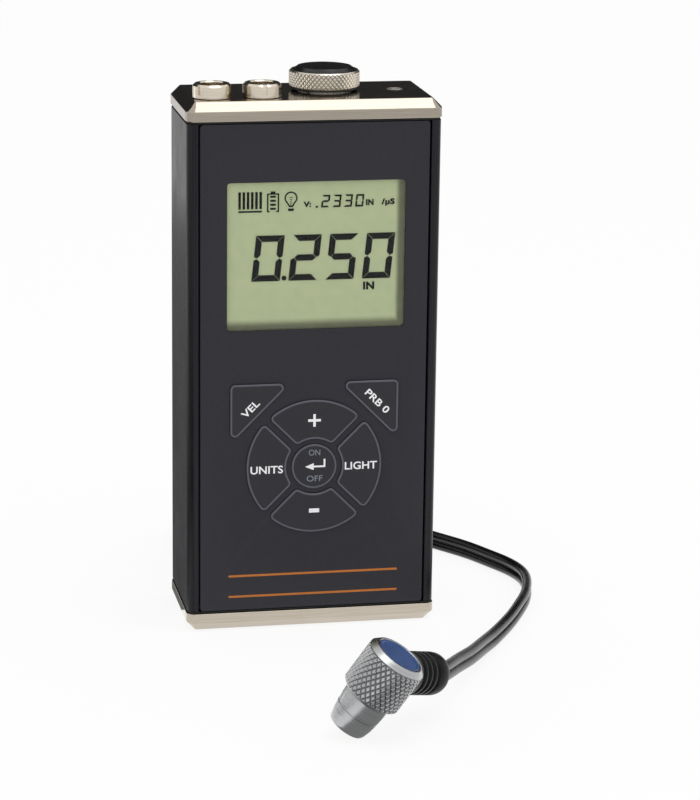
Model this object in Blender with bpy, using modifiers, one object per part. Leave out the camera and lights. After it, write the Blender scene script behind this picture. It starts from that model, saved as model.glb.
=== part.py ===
"""Hand-held ultrasonic thickness gauge with its dual-element probe on a twin lead.

The case stands upright on its bottom end cap, front to -Y, with the origin at the centre of that
cap's foot. The probe lies in front of it, and the unseen length of its lead is coiled behind it.
"""

import math

import bmesh
import bpy
from mathutils import Matrix, Vector

# Case, in metres like everything below
CASE_WIDTH = 0.0635
CASE_DEPTH = 0.0315
CASE_HEIGHT = 0.1343
CORNER_RADIUS = 0.0026
CAP_BEVEL = 0.0023
CAP_BAND = 0.0024
BODY_INSET = 0.0002
WALL = 0.0018
GASKET_THICKNESS = 0.0004
GASKET_INSET = 0.0002

# Clearances
SEAT_GAP = 0.0003
LAYER_GAP = 0.0001

# Panel set in the front of the case
PANEL_SIDE_MARGIN = 0.00335
PANEL_GROOVE = 0.0005
PANEL_SET_BACK = 0.0001
OVERLAY_THICKNESS = 0.0005
CIRCUIT_THICKNESS = 0.0009
RECESS_WALL = 0.0012
TAIL_SLOT_WIDTH = 0.0134
TAIL_SLOT_HEIGHT = 0.0022

# Display
WINDOW_SIDE_MARGIN = 0.0062
WINDOW_TOP_MARGIN = 0.0198
WINDOW_ABOVE_KEYS = 0.0136
WINDOW_X = 0.0004
WINDOW_CORNER = 0.0008
WINDOW_GAP = 0.0001
GLASS_BORDER = 0.0012
GLASS_THICKNESS = 0.0021
BACKLIGHT_BORDER = 0.0018
BACKLIGHT_SHARE = 0.43

# Keys
KEY_RING_X = 0.00025
KEY_RING_MIDDLE = 0.0423
KEY_RING_RADIUS = 0.0171
KEY_RING_BORE = 0.0071
KEY_SPACING = 0.00175
KEY_CORNER = 0.0012
ENTER_RADIUS = 0.0057
CORNER_KEY_SIDE = 0.0134
CORNER_KEY_REACH = 0.0212
CORNER_KEY_ABOVE_RING = 0.0045
KEY_THICKNESS = 0.0005
KEY_PROUD = 0.00015
KEY_TRAVEL = 0.0003
KEY_GAP = 0.00025
KEY_BORDER = 0.0006
KEY_BORDER_HEIGHT = 0.0002
DOME_RADIUS = 0.0025
DOME_HEIGHT = 0.0003

# Main board and the ribs that hold it
BOARD_THICKNESS = 0.0016
BOARD_FOOT = 0.012
BOARD_HEAD_ROOM = 0.0155
RIB_REACH = 0.0013
RIB_SHARE = 0.4
CHIP_HEIGHT = 0.0012

# Battery tube, cells and the cap that closes it
BATTERY_WIDTH_SHARE = 0.082
BATTERY_BACK_SHARE = 0.38
BATTERY_FOOT_ROOM = 0.0158
CELL_RADIUS = 0.0071
CELL_NUB_RADIUS = 0.0027
CELL_NUB_HEIGHT = 0.001
TUBE_BORE_GAP = 0.0005
TUBE_WALL = 0.001
TUBE_SEAT = 0.0014
SPRING_RADIUS = 0.0045
SPRING_WIRE = 0.00045
SPRING_HEIGHT = 0.0065
SPRING_TURNS = 3
KNOB_RADIUS = 0.0088
KNOB_HEIGHT = 0.0041
KNOB_CHAMFER = 0.00025
KNOB_SPIGOT_DEPTH = 0.0035
KNOB_THREAD_GAP = 0.00035
SEAL_HEIGHT = 0.0005
SEAL_RADIUS = 0.0083
DISC_RADIUS = 0.0078
DISC_SLOPE = 0.0011
DISC_RISE = 0.0012
DISC_DOME = 0.0003
DISC_SEAT_DEPTH = 0.0008
KNOB_COLUMNS = 48
KNOB_ROWS = 4
KNURL_DEPTH = 0.00028

# Probe sockets, whose places are shares of the case's width and depth from its middle
SOCKET_LEFT_SHARE = 0.3827
SOCKET_RIGHT_SHARE = 0.1882
SOCKET_FRONT_SHARE = 0.2222
SOCKET_RADIUS = 0.00475
SOCKET_HEIGHT = 0.0035
SOCKET_EDGE = 0.0005
SOCKET_BORE = 0.0033
SOCKET_THREAD_RADIUS = 0.0036
SOCKET_DEPTH = 0.0095
SOCKET_RECESS = 0.0013
SOCKET_NOTCH = 0.0011
SOCKET_NOTCH_DEPTH = 0.0004
INSERT_RADIUS = 0.0026
CONTACT_RADIUS = 0.0007

# End cap screws
SCREW_WIDTH_SHARE = 0.359
SCREW_DEPTH_SHARE = 0.016
SCREW_RADIUS = 0.00115
SCREW_LENGTH = 0.011
SCREW_HEAD_RADIUS = 0.0022
SCREW_HEAD_DEPTH = 0.0011
SCREW_SLOT = 0.0006
SCREW_GAP = 0.00015
PORT_RADIUS = 0.0029
PORT_WEB = 0.002

# Probe, standing on the edge of its nose
PROBE_X = -0.0056
PROBE_Y = -0.0923
PROBE_TILT = math.radians(33.9)
PROBE_HEADING = math.radians(-19.4)
PROBE_TWIST = math.radians(59.0)
NOSE_FACE_RADIUS = 0.0046
NOSE_RADIUS = 0.0057
NOSE_LENGTH = 0.009
NOSE_GROOVE_HEIGHT = 0.0045
NOSE_GROOVE_DEPTH = 0.00015
NOSE_BORE = 0.0037
NOSE_BORE_DEPTH = 0.006
DELAY_RADIUS = 0.0033
BARRIER_THICKNESS = 0.0005
PROBE_CAP_RADIUS = 0.0073
PROBE_CAP_LENGTH = 0.0125
PROBE_CAP_CHAMFER = 0.0012
PROBE_CAP_COLUMNS = 48
PROBE_CAP_ROWS = 7
PROBE_DISC_RADIUS = 0.0056
PROBE_DISC_DEPTH = 0.0008
BOOT_RADIUS = 0.0051
BOOT_REACH = 0.0213
BOOT_DROP = 0.0054
BOOT_RIB_PITCH = 0.0021
BOOT_RIBS = 4
BOOT_GROOVE = 0.0006
BOOT_NOSE = 0.003

# Twin lead, and what is on its far end
LEAD_WIDTH = 0.0049
COIL_X = 0.006
COIL_Y = 0.056
COIL_OUTER = 0.0298
COIL_INNER = 0.0197
COIL_HEIGHT = 0.0106
TIE_WIDTH = 0.006
TIE_THICKNESS = 0.0008
TIE_ANGLE = math.radians(170.0)
SPLITTER_LENGTH = 0.011
SPLITTER_RADIUS = 0.0031
TAIL_DIAMETER = 0.00245
PLUG_TAIL_END_X = -0.004
PLUG_ROWS = (0.0942, 0.1035)
PLUG_BOOT_LENGTH = 0.0095
PLUG_BOOT_RADIUS = 0.0029
PLUG_NUT_RADIUS = 0.0034
PLUG_NUT_LENGTH = 0.0035
PLUG_NECK_RADIUS = 0.0025
PLUG_SLEEVE_RADIUS = 0.004
PLUG_SLEEVE_LENGTH = 0.0095
PLUG_SLEEVE_TRAVEL = 0.0012
PLUG_GRIP_PITCH = 0.0018
PLUG_NOSE_RADIUS = 0.0030
PLUG_NOSE_LENGTH = 0.007
PLUG_NOSE_BORE = 0.0023
PLUG_PIN_RADIUS = 0.0005

# The lead's route along the floor, from the boot to the coil
LEAD_ROUTE = (
    (0.0179, -0.0807, 0.0097),
    (0.0197, -0.0787, 0.0090),
    (0.0223, -0.0743, 0.0082),
    (0.0264, -0.0667, 0.0069),
    (0.0316, -0.0576, 0.0053),
    (0.0370, -0.0474, 0.0039),
    (0.0422, -0.0381, 0.0029),
    (0.0487, -0.0265, 0.00245),
    (0.0532, -0.0177, 0.00245),
    (0.0572, -0.0090, 0.00245),
    (0.0598, -0.0010, 0.00245),
    (0.0611, 0.0060, 0.00245),
    (0.0609, 0.0120, 0.00245),
    (0.0591, 0.0185, 0.00245),
    (0.0557, 0.0258, 0.00245),
    (0.0520, 0.0331, 0.00245),
    (0.0482, 0.0389, 0.00245),
    (0.0450, 0.0434, 0.00245),
    (0.0421, 0.0479, 0.00245),
    (0.0399, 0.0532, 0.00245),
    (0.0389, 0.0592, 0.00245),
)
# From the coil's upper turns, over the lead and down to the splitter
LEAD_END_ROUTE = (
    (0.0383, 0.0612, 0.0074),
    (0.0396, 0.0660, 0.0062),
    (0.0403, 0.0712, 0.0045),
    (0.0404, 0.0766, 0.0034),
    (0.0400, 0.0811, 0.0031),
)
SPLITTER_START = (0.03995, 0.0814, 0.0031)
SPLITTER_HEADING = math.radians(95.0)
TAIL_ROUTES = (
    (
        (0.0404, 0.0929, 0.0028),
        (0.0401, 0.0980, 0.0018),
        (0.0386, 0.1045, 0.00125),
        (0.0345, 0.1115, 0.00125),
        (0.0276, 0.1162, 0.00125),
        (0.0190, 0.1184, 0.00125),
        (0.0090, 0.1190, 0.00125),
        (-0.0002, 0.1182, 0.00125),
        (-0.0082, 0.1150, 0.00125),
        (-0.0131, 0.1096, 0.00125),
        (-0.0144, 0.1030, 0.00140),
        (-0.0125, 0.0974, 0.0022),
        (-0.0085, 0.0947, 0.0034),
        (-0.0043, 0.0942, 0.0040),
    ),
    (
        (0.0376, 0.0926, 0.0028),
        (0.0367, 0.0974, 0.0018),
        (0.0345, 0.1034, 0.00125),
        (0.0302, 0.1092, 0.00125),
        (0.0238, 0.1130, 0.00125),
        (0.0160, 0.1146, 0.00125),
        (0.0070, 0.1148, 0.00125),
        (-0.0010, 0.1142, 0.00125),
        (-0.0068, 0.1120, 0.00130),
        (-0.0098, 0.1080, 0.0018),
        (-0.0090, 0.1048, 0.0030),
        (-0.0068, 0.1037, 0.0038),
        (-0.0043, 0.1035, 0.0040),
    ),
)

# Heights and depths that several pieces share
CAP_THICKNESS = CAP_BEVEL + CAP_BAND
GASKET_SPACE = GASKET_THICKNESS + 2 * LAYER_GAP
BODY_LOW = CAP_THICKNESS + GASKET_SPACE
BODY_HIGH = CASE_HEIGHT - BODY_LOW
BODY_WIDTH = CASE_WIDTH - 2 * BODY_INSET
BODY_DEPTH = CASE_DEPTH - 2 * BODY_INSET
BODY_CORNER = CORNER_RADIUS - BODY_INSET
FACE_Y = -BODY_DEPTH / 2
OVERLAY_FRONT = FACE_Y + PANEL_SET_BACK
OVERLAY_BACK = OVERLAY_FRONT + OVERLAY_THICKNESS
CIRCUIT_FRONT = OVERLAY_BACK + LAYER_GAP
CIRCUIT_BACK = CIRCUIT_FRONT + CIRCUIT_THICKNESS
RECESS_FLOOR = CIRCUIT_BACK + LAYER_GAP
CAVITY_FRONT = RECESS_FLOOR + RECESS_WALL
CAVITY_BACK = BODY_DEPTH / 2 - WALL
CAVITY_SIDE = BODY_WIDTH / 2 - WALL
CAVITY_CORNER = max(BODY_CORNER - WALL, SEAT_GAP)
PANEL_WIDTH = CASE_WIDTH - 2 * PANEL_SIDE_MARGIN
RECESS_HALF = PANEL_WIDTH / 2 + PANEL_GROOVE
WINDOW_WIDTH = PANEL_WIDTH - 2 * WINDOW_SIDE_MARGIN
CORNER_KEY_TOP = KEY_RING_MIDDLE + KEY_RING_RADIUS + CORNER_KEY_ABOVE_RING
WINDOW_LOW = CORNER_KEY_TOP + WINDOW_ABOVE_KEYS
WINDOW_HEIGHT = CASE_HEIGHT - WINDOW_TOP_MARGIN - WINDOW_LOW
WINDOW_MIDDLE = WINDOW_LOW + WINDOW_HEIGHT / 2
GLASS_FRONT = OVERLAY_BACK + 2 * LAYER_GAP
BACKLIGHT_FRONT = max(CAVITY_FRONT, GLASS_FRONT + GLASS_THICKNESS) + SEAT_GAP
TUBE_BORE = CELL_RADIUS + TUBE_BORE_GAP
TUBE_RADIUS = TUBE_BORE + TUBE_WALL
FREE_DEPTH = CAVITY_BACK - BACKLIGHT_FRONT - SEAT_GAP - BOARD_THICKNESS - 2 * TUBE_RADIUS
BACKLIGHT_THICKNESS = FREE_DEPTH * BACKLIGHT_SHARE
RIB_THICKNESS = BACKLIGHT_THICKNESS * RIB_SHARE
BOARD_FRONT = BACKLIGHT_FRONT + BACKLIGHT_THICKNESS + SEAT_GAP
BOARD_BACK = BOARD_FRONT + BOARD_THICKNESS
BATTERY_X = CASE_WIDTH * BATTERY_WIDTH_SHARE
BATTERY_Y = CAVITY_BACK - FREE_DEPTH * BATTERY_BACK_SHARE - TUBE_RADIUS
TUBE_TOP = CASE_HEIGHT - CAP_THICKNESS + TUBE_SEAT - LAYER_GAP
CELL_TOP = CASE_HEIGHT - KNOB_SPIGOT_DEPTH - SEAT_GAP
TUBE_FLOOR = BODY_LOW + BATTERY_FOOT_ROOM + TUBE_WALL
CELL_LENGTH = (CELL_TOP - TUBE_FLOOR - SPRING_HEIGHT - SEAT_GAP) / 2 - SEAT_GAP
KNOB_HOLE = CELL_RADIUS + TUBE_BORE_GAP / 2
SOCKET_LEFT_X = -CASE_WIDTH * SOCKET_LEFT_SHARE
SOCKET_RIGHT_X = -CASE_WIDTH * SOCKET_RIGHT_SHARE
SOCKET_Y = -CASE_DEPTH * SOCKET_FRONT_SHARE
SCREW_X = CASE_WIDTH * SCREW_WIDTH_SHARE
SCREW_Y = CASE_DEPTH * SCREW_DEPTH_SHARE
PROBE_LENGTH = NOSE_LENGTH + PROBE_CAP_LENGTH
ROUND_STEPS = 28
SMALL_STEPS = 16


def clear_scene():
    for obj in list(bpy.data.objects):
        bpy.data.objects.remove(obj, do_unlink=True)


def collection(name):
    made = bpy.data.collections.new(name)
    bpy.context.scene.collection.children.link(made)
    return made


def material(name, colour, metallic=0.0, roughness=0.5):
    made = bpy.data.materials.new(name)
    made.use_nodes = True
    shader = made.node_tree.nodes["Principled BSDF"]
    shader.inputs["Base Color"].default_value = (*colour, 1.0)
    shader.inputs["Metallic"].default_value = metallic
    shader.inputs["Roughness"].default_value = roughness
    return made


clear_scene()
PARTS = collection("thickness_gauge")
CUTTERS = collection("cutters")

ANODISED = material("black_anodised", (0.02, 0.02, 0.022), 0.4, 0.3)
NICKEL = material("satin_nickel", (0.70, 0.67, 0.62), 1.0, 0.3)
GASKET = material("gasket_rubber", (0.02, 0.02, 0.02), 0.0, 0.8)
FILM = material("overlay_film", (0.03, 0.03, 0.036), 0.0, 0.45)
KEY_FILM = material("key_film", (0.035, 0.035, 0.045), 0.0, 0.42)
CIRCUIT = material("membrane_circuit", (0.25, 0.30, 0.32), 0.0, 0.6)
CLEAR = material("clear_window", (0.80, 0.85, 0.80), 0.0, 0.05)
GLASS = material("display_glass", (0.44, 0.50, 0.27), 0.0, 0.2)
BACKLIGHT = material("backlight_frame", (0.75, 0.76, 0.72), 0.0, 0.5)
BOARD = material("circuit_board", (0.02, 0.16, 0.06), 0.0, 0.5)
BLACK_PLASTIC = material("black_plastic", (0.015, 0.015, 0.016), 0.0, 0.4)
CELL = material("cell_jacket", (0.10, 0.11, 0.13), 0.3, 0.35)
SPRING_STEEL = material("spring_steel", (0.60, 0.60, 0.60), 1.0, 0.3)
DARK_DISC = material("dark_disc", (0.015, 0.015, 0.017), 0.6, 0.2)
INSULATOR = material("socket_insulator", (0.04, 0.04, 0.04), 0.0, 0.5)
STEEL = material("probe_steel", (0.56, 0.57, 0.58), 1.0, 0.32)
BLUE = material("blue_disc", (0.02, 0.08, 0.28), 0.0, 0.4)
DELAY = material("delay_line", (0.55, 0.50, 0.40), 0.0, 0.4)
CORK = material("barrier_cork", (0.35, 0.22, 0.12), 0.0, 0.9)
BOOT_RUBBER = material("boot_rubber", (0.02, 0.02, 0.02), 0.0, 0.6)
LEAD_JACKET = material("lead_jacket", (0.02, 0.02, 0.022), 0.0, 0.35)


def arc(centre, radius, start, end, steps):
    """Points of an arc from one angle to another, ends included."""
    return [
        (
            centre[0] + radius * math.cos(start + (end - start) * i / steps),
            centre[1] + radius * math.sin(start + (end - start) * i / steps),
        )
        for i in range(steps + 1)
    ]


def rounded_rectangle(width, height, radius, middle=(0.0, 0.0), steps=4):
    """An outline, anticlockwise, with its four corners rounded."""
    points = []
    for quarter, (sx, sy) in enumerate(((1, 1), (-1, 1), (-1, -1), (1, -1))):
        centre = (
            middle[0] + sx * (width / 2 - radius),
            middle[1] + sy * (height / 2 - radius),
        )
        start = quarter * math.pi / 2
        points += arc(centre, radius, start, start + math.pi / 2, steps)
    return points


def filleted(outline, radius, steps=3):
    """The outline with each of its sharp corners rounded to the radius."""
    points = []
    count = len(outline)
    for i in range(count):
        before, here, after = (Vector(outline[(i + k) % count]) for k in (-1, 0, 1))
        back, ahead = (before - here).normalized(), (after - here).normalized()
        opening = back.angle(ahead)
        if opening > math.radians(150):
            points.append(tuple(here))
            continue
        reach = radius / math.tan(opening / 2)
        centre = here + (back + ahead).normalized() * radius / math.sin(opening / 2)
        first, last = here + back * reach - centre, here + ahead * reach - centre
        turn = first.angle_signed(last)
        for k in range(steps + 1):
            points.append(tuple(centre + Matrix.Rotation(-turn * k / steps, 2) @ first))
    return points


def ring_key(quarter, grow=0.0):
    """One quarter of the key ring, from one diagonal to the next, made larger all round by grow."""
    outer, inner = KEY_RING_RADIUS + grow, KEY_RING_BORE - grow
    half_gap = KEY_SPACING / 2 - grow
    outer_angle = math.pi / 4 - math.asin(half_gap / outer)
    inner_angle = math.pi / 4 - math.asin(half_gap / inner)
    middle = quarter * math.pi / 2
    outline = arc((0, 0), outer, middle - outer_angle, middle + outer_angle, 6)
    outline += arc((0, 0), inner, middle + inner_angle, middle - inner_angle, 3)
    return shifted(filleted(outline, KEY_CORNER + grow), (KEY_RING_X, KEY_RING_MIDDLE))


def corner_key(side, grow=0.0):
    """The triangular key above the ring, on the left for side -1 and on the right for side 1."""
    sharp_side = CORNER_KEY_SIDE + KEY_CORNER * math.sqrt(2) + grow * (1 + math.sqrt(2))
    far, near = CORNER_KEY_REACH + grow, CORNER_KEY_REACH - sharp_side
    high, low = CORNER_KEY_TOP + grow, CORNER_KEY_TOP - sharp_side
    outline = [(side * near, high), (side * far, low), (side * far, high)]
    if side < 0:
        outline.reverse()
    return shifted(filleted(outline, KEY_CORNER + grow), (KEY_RING_X, 0))


def round_key(grow=0.0):
    return arc((KEY_RING_X, KEY_RING_MIDDLE), ENTER_RADIUS + grow, 0, 2 * math.pi, 24)[:-1]


def shifted(outline, by):
    return [(x + by[0], y + by[1]) for x, y in outline]


KEYS = {
    "key_right": lambda grow: ring_key(0, grow),
    "key_plus": lambda grow: ring_key(1, grow),
    "key_left": lambda grow: ring_key(2, grow),
    "key_minus": lambda grow: ring_key(3, grow),
    "key_enter": round_key,
    "key_corner_left": lambda grow: corner_key(-1, grow),
    "key_corner_right": lambda grow: corner_key(1, grow),
}


def window(border=0.0):
    size = (WINDOW_WIDTH + 2 * border, WINDOW_HEIGHT + 2 * border)
    return rounded_rectangle(*size, WINDOW_CORNER + max(border, 0), (WINDOW_X, WINDOW_MIDDLE), 3)


def middle_of(outline):
    xs, ys = zip(*outline)
    return ((min(xs) + max(xs)) / 2, (min(ys) + max(ys)) / 2)


def smooth(mesh, angle=35):
    mesh.shade_smooth()
    mesh.set_sharp_from_angle(angle=math.radians(angle))


def place(name, mesh, finish, into=None):
    """A new object that holds the mesh, in the parts' collection unless told otherwise."""
    obj = bpy.data.objects.new(name, mesh)
    if finish:
        mesh.materials.append(finish)
    (into or PARTS).objects.link(obj)
    return obj


def baked(obj):
    """The object again, as a plain mesh with its modifiers applied and its doubles merged."""
    bpy.context.view_layer.update()
    evaluated = obj.evaluated_get(bpy.context.evaluated_depsgraph_get())
    mesh = bpy.data.meshes.new_from_object(evaluated)
    shape = bmesh.new()
    shape.from_mesh(mesh)
    bmesh.ops.remove_doubles(shape, verts=shape.verts, dist=1e-6)
    shape.to_mesh(mesh)
    shape.free()
    name, matrix, holder = obj.name, obj.matrix_world.copy(), obj.users_collection[0]
    bpy.data.objects.remove(obj)
    made = bpy.data.objects.new(name, mesh)
    mesh.name = name
    holder.objects.link(made)
    made.matrix_world = matrix
    return made


def plate(name, outlines, thickness, finish=None, into=None):
    """A flat plate about local Z: the first outline is its edge and the others are holes."""
    curve = bpy.data.curves.new(name, "CURVE")
    curve.dimensions = "2D"
    curve.fill_mode = "BOTH"
    curve.extrude = thickness / 2
    for outline in outlines:
        spline = curve.splines.new("POLY")
        spline.points.add(len(outline) - 1)
        for point, (x, y) in zip(spline.points, outline):
            point.co = (x, y, 0, 1)
        spline.use_cyclic_u = True
    obj = baked(place(name, curve, finish, into))
    smooth(obj.data)
    return obj


def front_plate(name, outlines, front, thickness, finish=None, into=None):
    """A plate that faces -Y, whose outlines are in X and Z."""
    obj = plate(name, outlines, thickness, finish, into)
    obj.rotation_euler = (math.pi / 2, 0, 0)
    obj.location = (0, front + thickness / 2, 0)
    return obj


def box(name, low, high, finish=None, into=None):
    """A box between two corners."""
    shape = bmesh.new()
    bmesh.ops.create_cube(shape, size=1.0)
    size = [b - a for a, b in zip(low, high)]
    bmesh.ops.scale(shape, vec=size, verts=shape.verts)
    mesh = bpy.data.meshes.new(name)
    shape.to_mesh(mesh)
    shape.free()
    obj = place(name, mesh, finish, into)
    obj.location = [(a + b) / 2 for a, b in zip(low, high)]
    return obj


def turned(name, profile, finish=None, into=None, steps=ROUND_STEPS, ring=False):
    """A solid of revolution about local Z. The profile of (radius, height) runs down the outer side."""
    mesh = bpy.data.meshes.new(name)
    edges = [(i, i + 1) for i in range(len(profile) - 1)]
    if ring:
        edges.append((len(profile) - 1, 0))
    mesh.from_pydata([(r, 0, z) for r, z in profile], edges, [])
    obj = place(name, mesh, finish, into)
    screw = obj.modifiers.new("turn", "SCREW")
    screw.steps = screw.render_steps = steps
    screw.use_merge_vertices = True
    screw.merge_threshold = 1e-6
    obj = baked(obj)
    smooth(obj.data)
    return obj


def knurl(obj, radius, low, high, rows, columns, depth):
    """Cuts crossed spiral grooves into the stretch of a turned piece that has one row for each pitch."""
    shape = bmesh.new()
    shape.from_mesh(obj.data)
    valley = set()
    pitch = (high - low) / rows
    for vert in shape.verts:
        x, y, z = vert.co
        if abs(math.hypot(x, y) - radius) > 1e-5 or not low - 1e-6 < z < high + 1e-6:
            continue
        column = round(math.atan2(y, x) / (2 * math.pi) * columns)
        row = round((z - low) / pitch)
        if (column + row) % 2:
            vert.co.x *= (radius - depth) / radius
            vert.co.y *= (radius - depth) / radius
            valley.add(vert)
    for face in list(shape.faces):
        low_pair = [vert for vert in face.verts if vert in valley]
        if len(face.verts) == 4 and len(low_pair) == 2:
            bmesh.utils.face_split(face, *low_pair)
    shape.to_mesh(obj.data)
    shape.free()


def cylinder(name, radius, low, high, at=(0.0, 0.0), into=None, steps=SMALL_STEPS):
    obj = turned(name, [(0, high), (radius, high), (radius, low), (0, low)], None, into, steps)
    obj.location = (*at, 0)
    return obj


def boolean(obj, operation, others):
    for other in others:
        change = obj.modifiers.new(other.name, "BOOLEAN")
        change.operation = operation
        change.object = other


def cut(obj, *cutters):
    for cutter in cutters:
        cutter.hide_render = True
        cutter.display_type = "WIRE"
    boolean(obj, "DIFFERENCE", cutters)


def join(obj, *others):
    """Adds the other pieces to this one, which takes them in as one body."""
    for other in others:
        other.hide_render = True
        other.display_type = "WIRE"
    boolean(obj, "UNION", others)


def smooth_route(points, steps=2):
    """Points of the smooth curve that passes through every point of a route."""
    route = [Vector(point) for point in points]
    ends = [2 * route[0] - route[1], *route, 2 * route[-1] - route[-2]]
    made = []
    for before, here, there, after in zip(ends, ends[1:], ends[2:], ends[3:]):
        for i in range(steps):
            t = i / steps
            pull = (there - before) * t + (2 * before - 5 * here + 4 * there - after) * t**2
            made.append(here + (pull + (3 * here - before - 3 * there + after) * t**3) / 2)
    return [*made, route[-1]]


def tube(name, points, diameter, finish):
    """A plain round tube through points, with closed ends."""
    curve = bpy.data.curves.new(name, "CURVE")
    curve.dimensions = "3D"
    curve.bevel_depth = diameter / 2
    curve.bevel_resolution = 2
    curve.use_fill_caps = True
    spline = curve.splines.new("POLY")
    spline.points.add(len(points) - 1)
    for point, place_at in zip(spline.points, points):
        point.co = (*place_at, 1)
    return place(name, curve, finish)


def about_x(obj, at):
    """Turns a piece made about local Z so that it lies along +X, with its foot at the place."""
    obj.rotation_euler = (0, math.pi / 2, 0)
    obj.location = at
    return obj


def case_outline():
    """The extrusion's section, with the shallow recess that takes the panel along its front."""
    outline = rounded_rectangle(BODY_WIDTH, BODY_DEPTH, BODY_CORNER)
    recess = [(-RECESS_HALF, FACE_Y), (-RECESS_HALF, RECESS_FLOOR)]
    recess += [(RECESS_HALF, RECESS_FLOOR), (RECESS_HALF, FACE_Y)]
    left_front = 3 * len(outline) // 4
    return outline[:left_front] + recess + outline[left_front:]


def hollow_outline():
    """A plain section of the case's hollow, for what closes its ends."""
    width, depth = 2 * CAVITY_SIDE, CAVITY_BACK - CAVITY_FRONT
    middle = (0, (CAVITY_BACK + CAVITY_FRONT) / 2)
    return rounded_rectangle(width, depth, CAVITY_CORNER, middle, 3)


def cavity_outline():
    """The case's hollow, with a screw port on a web and two board ribs standing in from each side."""
    back = SCREW_Y + PORT_WEB / 2
    front = SCREW_Y - PORT_WEB / 2
    start = math.asin(PORT_WEB / 2 / PORT_RADIUS)
    corner_x = CAVITY_SIDE - CAVITY_CORNER
    side = arc((corner_x, CAVITY_BACK - CAVITY_CORNER), CAVITY_CORNER, math.pi / 2, 0, 3)
    side.append((CAVITY_SIDE, back))
    side += arc((SCREW_X, SCREW_Y), PORT_RADIUS, start, 2 * math.pi - start, SMALL_STEPS)
    side.append((CAVITY_SIDE, front))
    for high in (BOARD_BACK + SEAT_GAP + RIB_THICKNESS, BOARD_FRONT - SEAT_GAP):
        low = high - RIB_THICKNESS
        inner = CAVITY_SIDE - RIB_REACH
        side += [(CAVITY_SIDE, high), (inner, high), (inner, low), (CAVITY_SIDE, low)]
    side += arc((corner_x, CAVITY_FRONT + CAVITY_CORNER), CAVITY_CORNER, 0, -math.pi / 2, 3)
    return side + [(-x, y) for x, y in reversed(side)]


def build_case():
    """One extruded section along its whole length, opened for the display and the keypad's tail."""
    bores = [
        arc((side * SCREW_X, SCREW_Y), SCREW_RADIUS + SCREW_GAP, 0, 2 * math.pi, SMALL_STEPS)[:-1]
        for side in (-1, 1)
    ]
    section = [case_outline(), cavity_outline(), *bores]
    case = plate("case_extrusion", section, BODY_HIGH - BODY_LOW, ANODISED)
    case.location.z = (BODY_HIGH + BODY_LOW) / 2
    through = CAVITY_FRONT - FACE_Y + 2 * WALL
    opening = front_plate(
        "display_opening",
        [window(GLASS_BORDER + SEAT_GAP)],
        FACE_Y - WALL,
        through,
        into=CUTTERS,
    )
    slot = box(
        "keypad_slot",
        (-TAIL_SLOT_WIDTH / 2, FACE_Y - WALL, BODY_LOW + TAIL_SLOT_HEIGHT),
        (TAIL_SLOT_WIDTH / 2, FACE_Y - WALL + through, BODY_LOW + 2 * TAIL_SLOT_HEIGHT),
        into=CUTTERS,
    )
    cut(case, opening, slot)


def end_plate(name):
    """A flat plate with a vertical band and a wide bevel, its foot at z = 0 and its bevel up."""
    shape = bmesh.new()
    rim = [
        shape.verts.new((x, y, 0))
        for x, y in rounded_rectangle(CASE_WIDTH, CASE_DEPTH, CORNER_RADIUS)
    ]
    foot = shape.faces.new(rim)
    grown = bmesh.ops.extrude_face_region(shape, geom=[foot])["geom"]
    top = [item for item in grown if isinstance(item, bmesh.types.BMFace)]
    raised = [item for item in grown if isinstance(item, bmesh.types.BMVert)]
    bmesh.ops.translate(shape, verts=raised, vec=(0, 0, CAP_BAND))
    bmesh.ops.recalc_face_normals(shape, faces=shape.faces)
    bmesh.ops.inset_region(shape, faces=top, thickness=CAP_BEVEL, depth=CAP_BEVEL)
    bmesh.ops.triangulate(shape, faces=shape.faces)
    bmesh.ops.recalc_face_normals(shape, faces=shape.faces)
    mesh = bpy.data.meshes.new(name)
    shape.to_mesh(mesh)
    shape.free()
    smooth(mesh, 30)
    return place(name, mesh, NICKEL)


def screw_holes(tag, top, down):
    """Cutters for one end cap's two countersunk holes, whose outer face is at height top."""
    sink = SCREW_HEAD_DEPTH + SEAT_GAP
    mouth = SCREW_HEAD_RADIUS + KEY_GAP
    hole = SCREW_RADIUS + SEAT_GAP
    profile = [(0, WALL), (mouth, WALL), (mouth, 0), (hole, -sink)]
    profile += [(hole, -2 * CAP_THICKNESS), (0, -2 * CAP_THICKNESS)]
    made = []
    for side in (-1, 1):
        cutter = turned(f"screw_hole_{tag}_{side}", profile, None, CUTTERS, SMALL_STEPS)
        cutter.location = (side * SCREW_X, SCREW_Y, top)
        if not down:
            cutter.rotation_euler = (math.pi, 0, 0)
        made.append(cutter)
    return made


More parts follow.
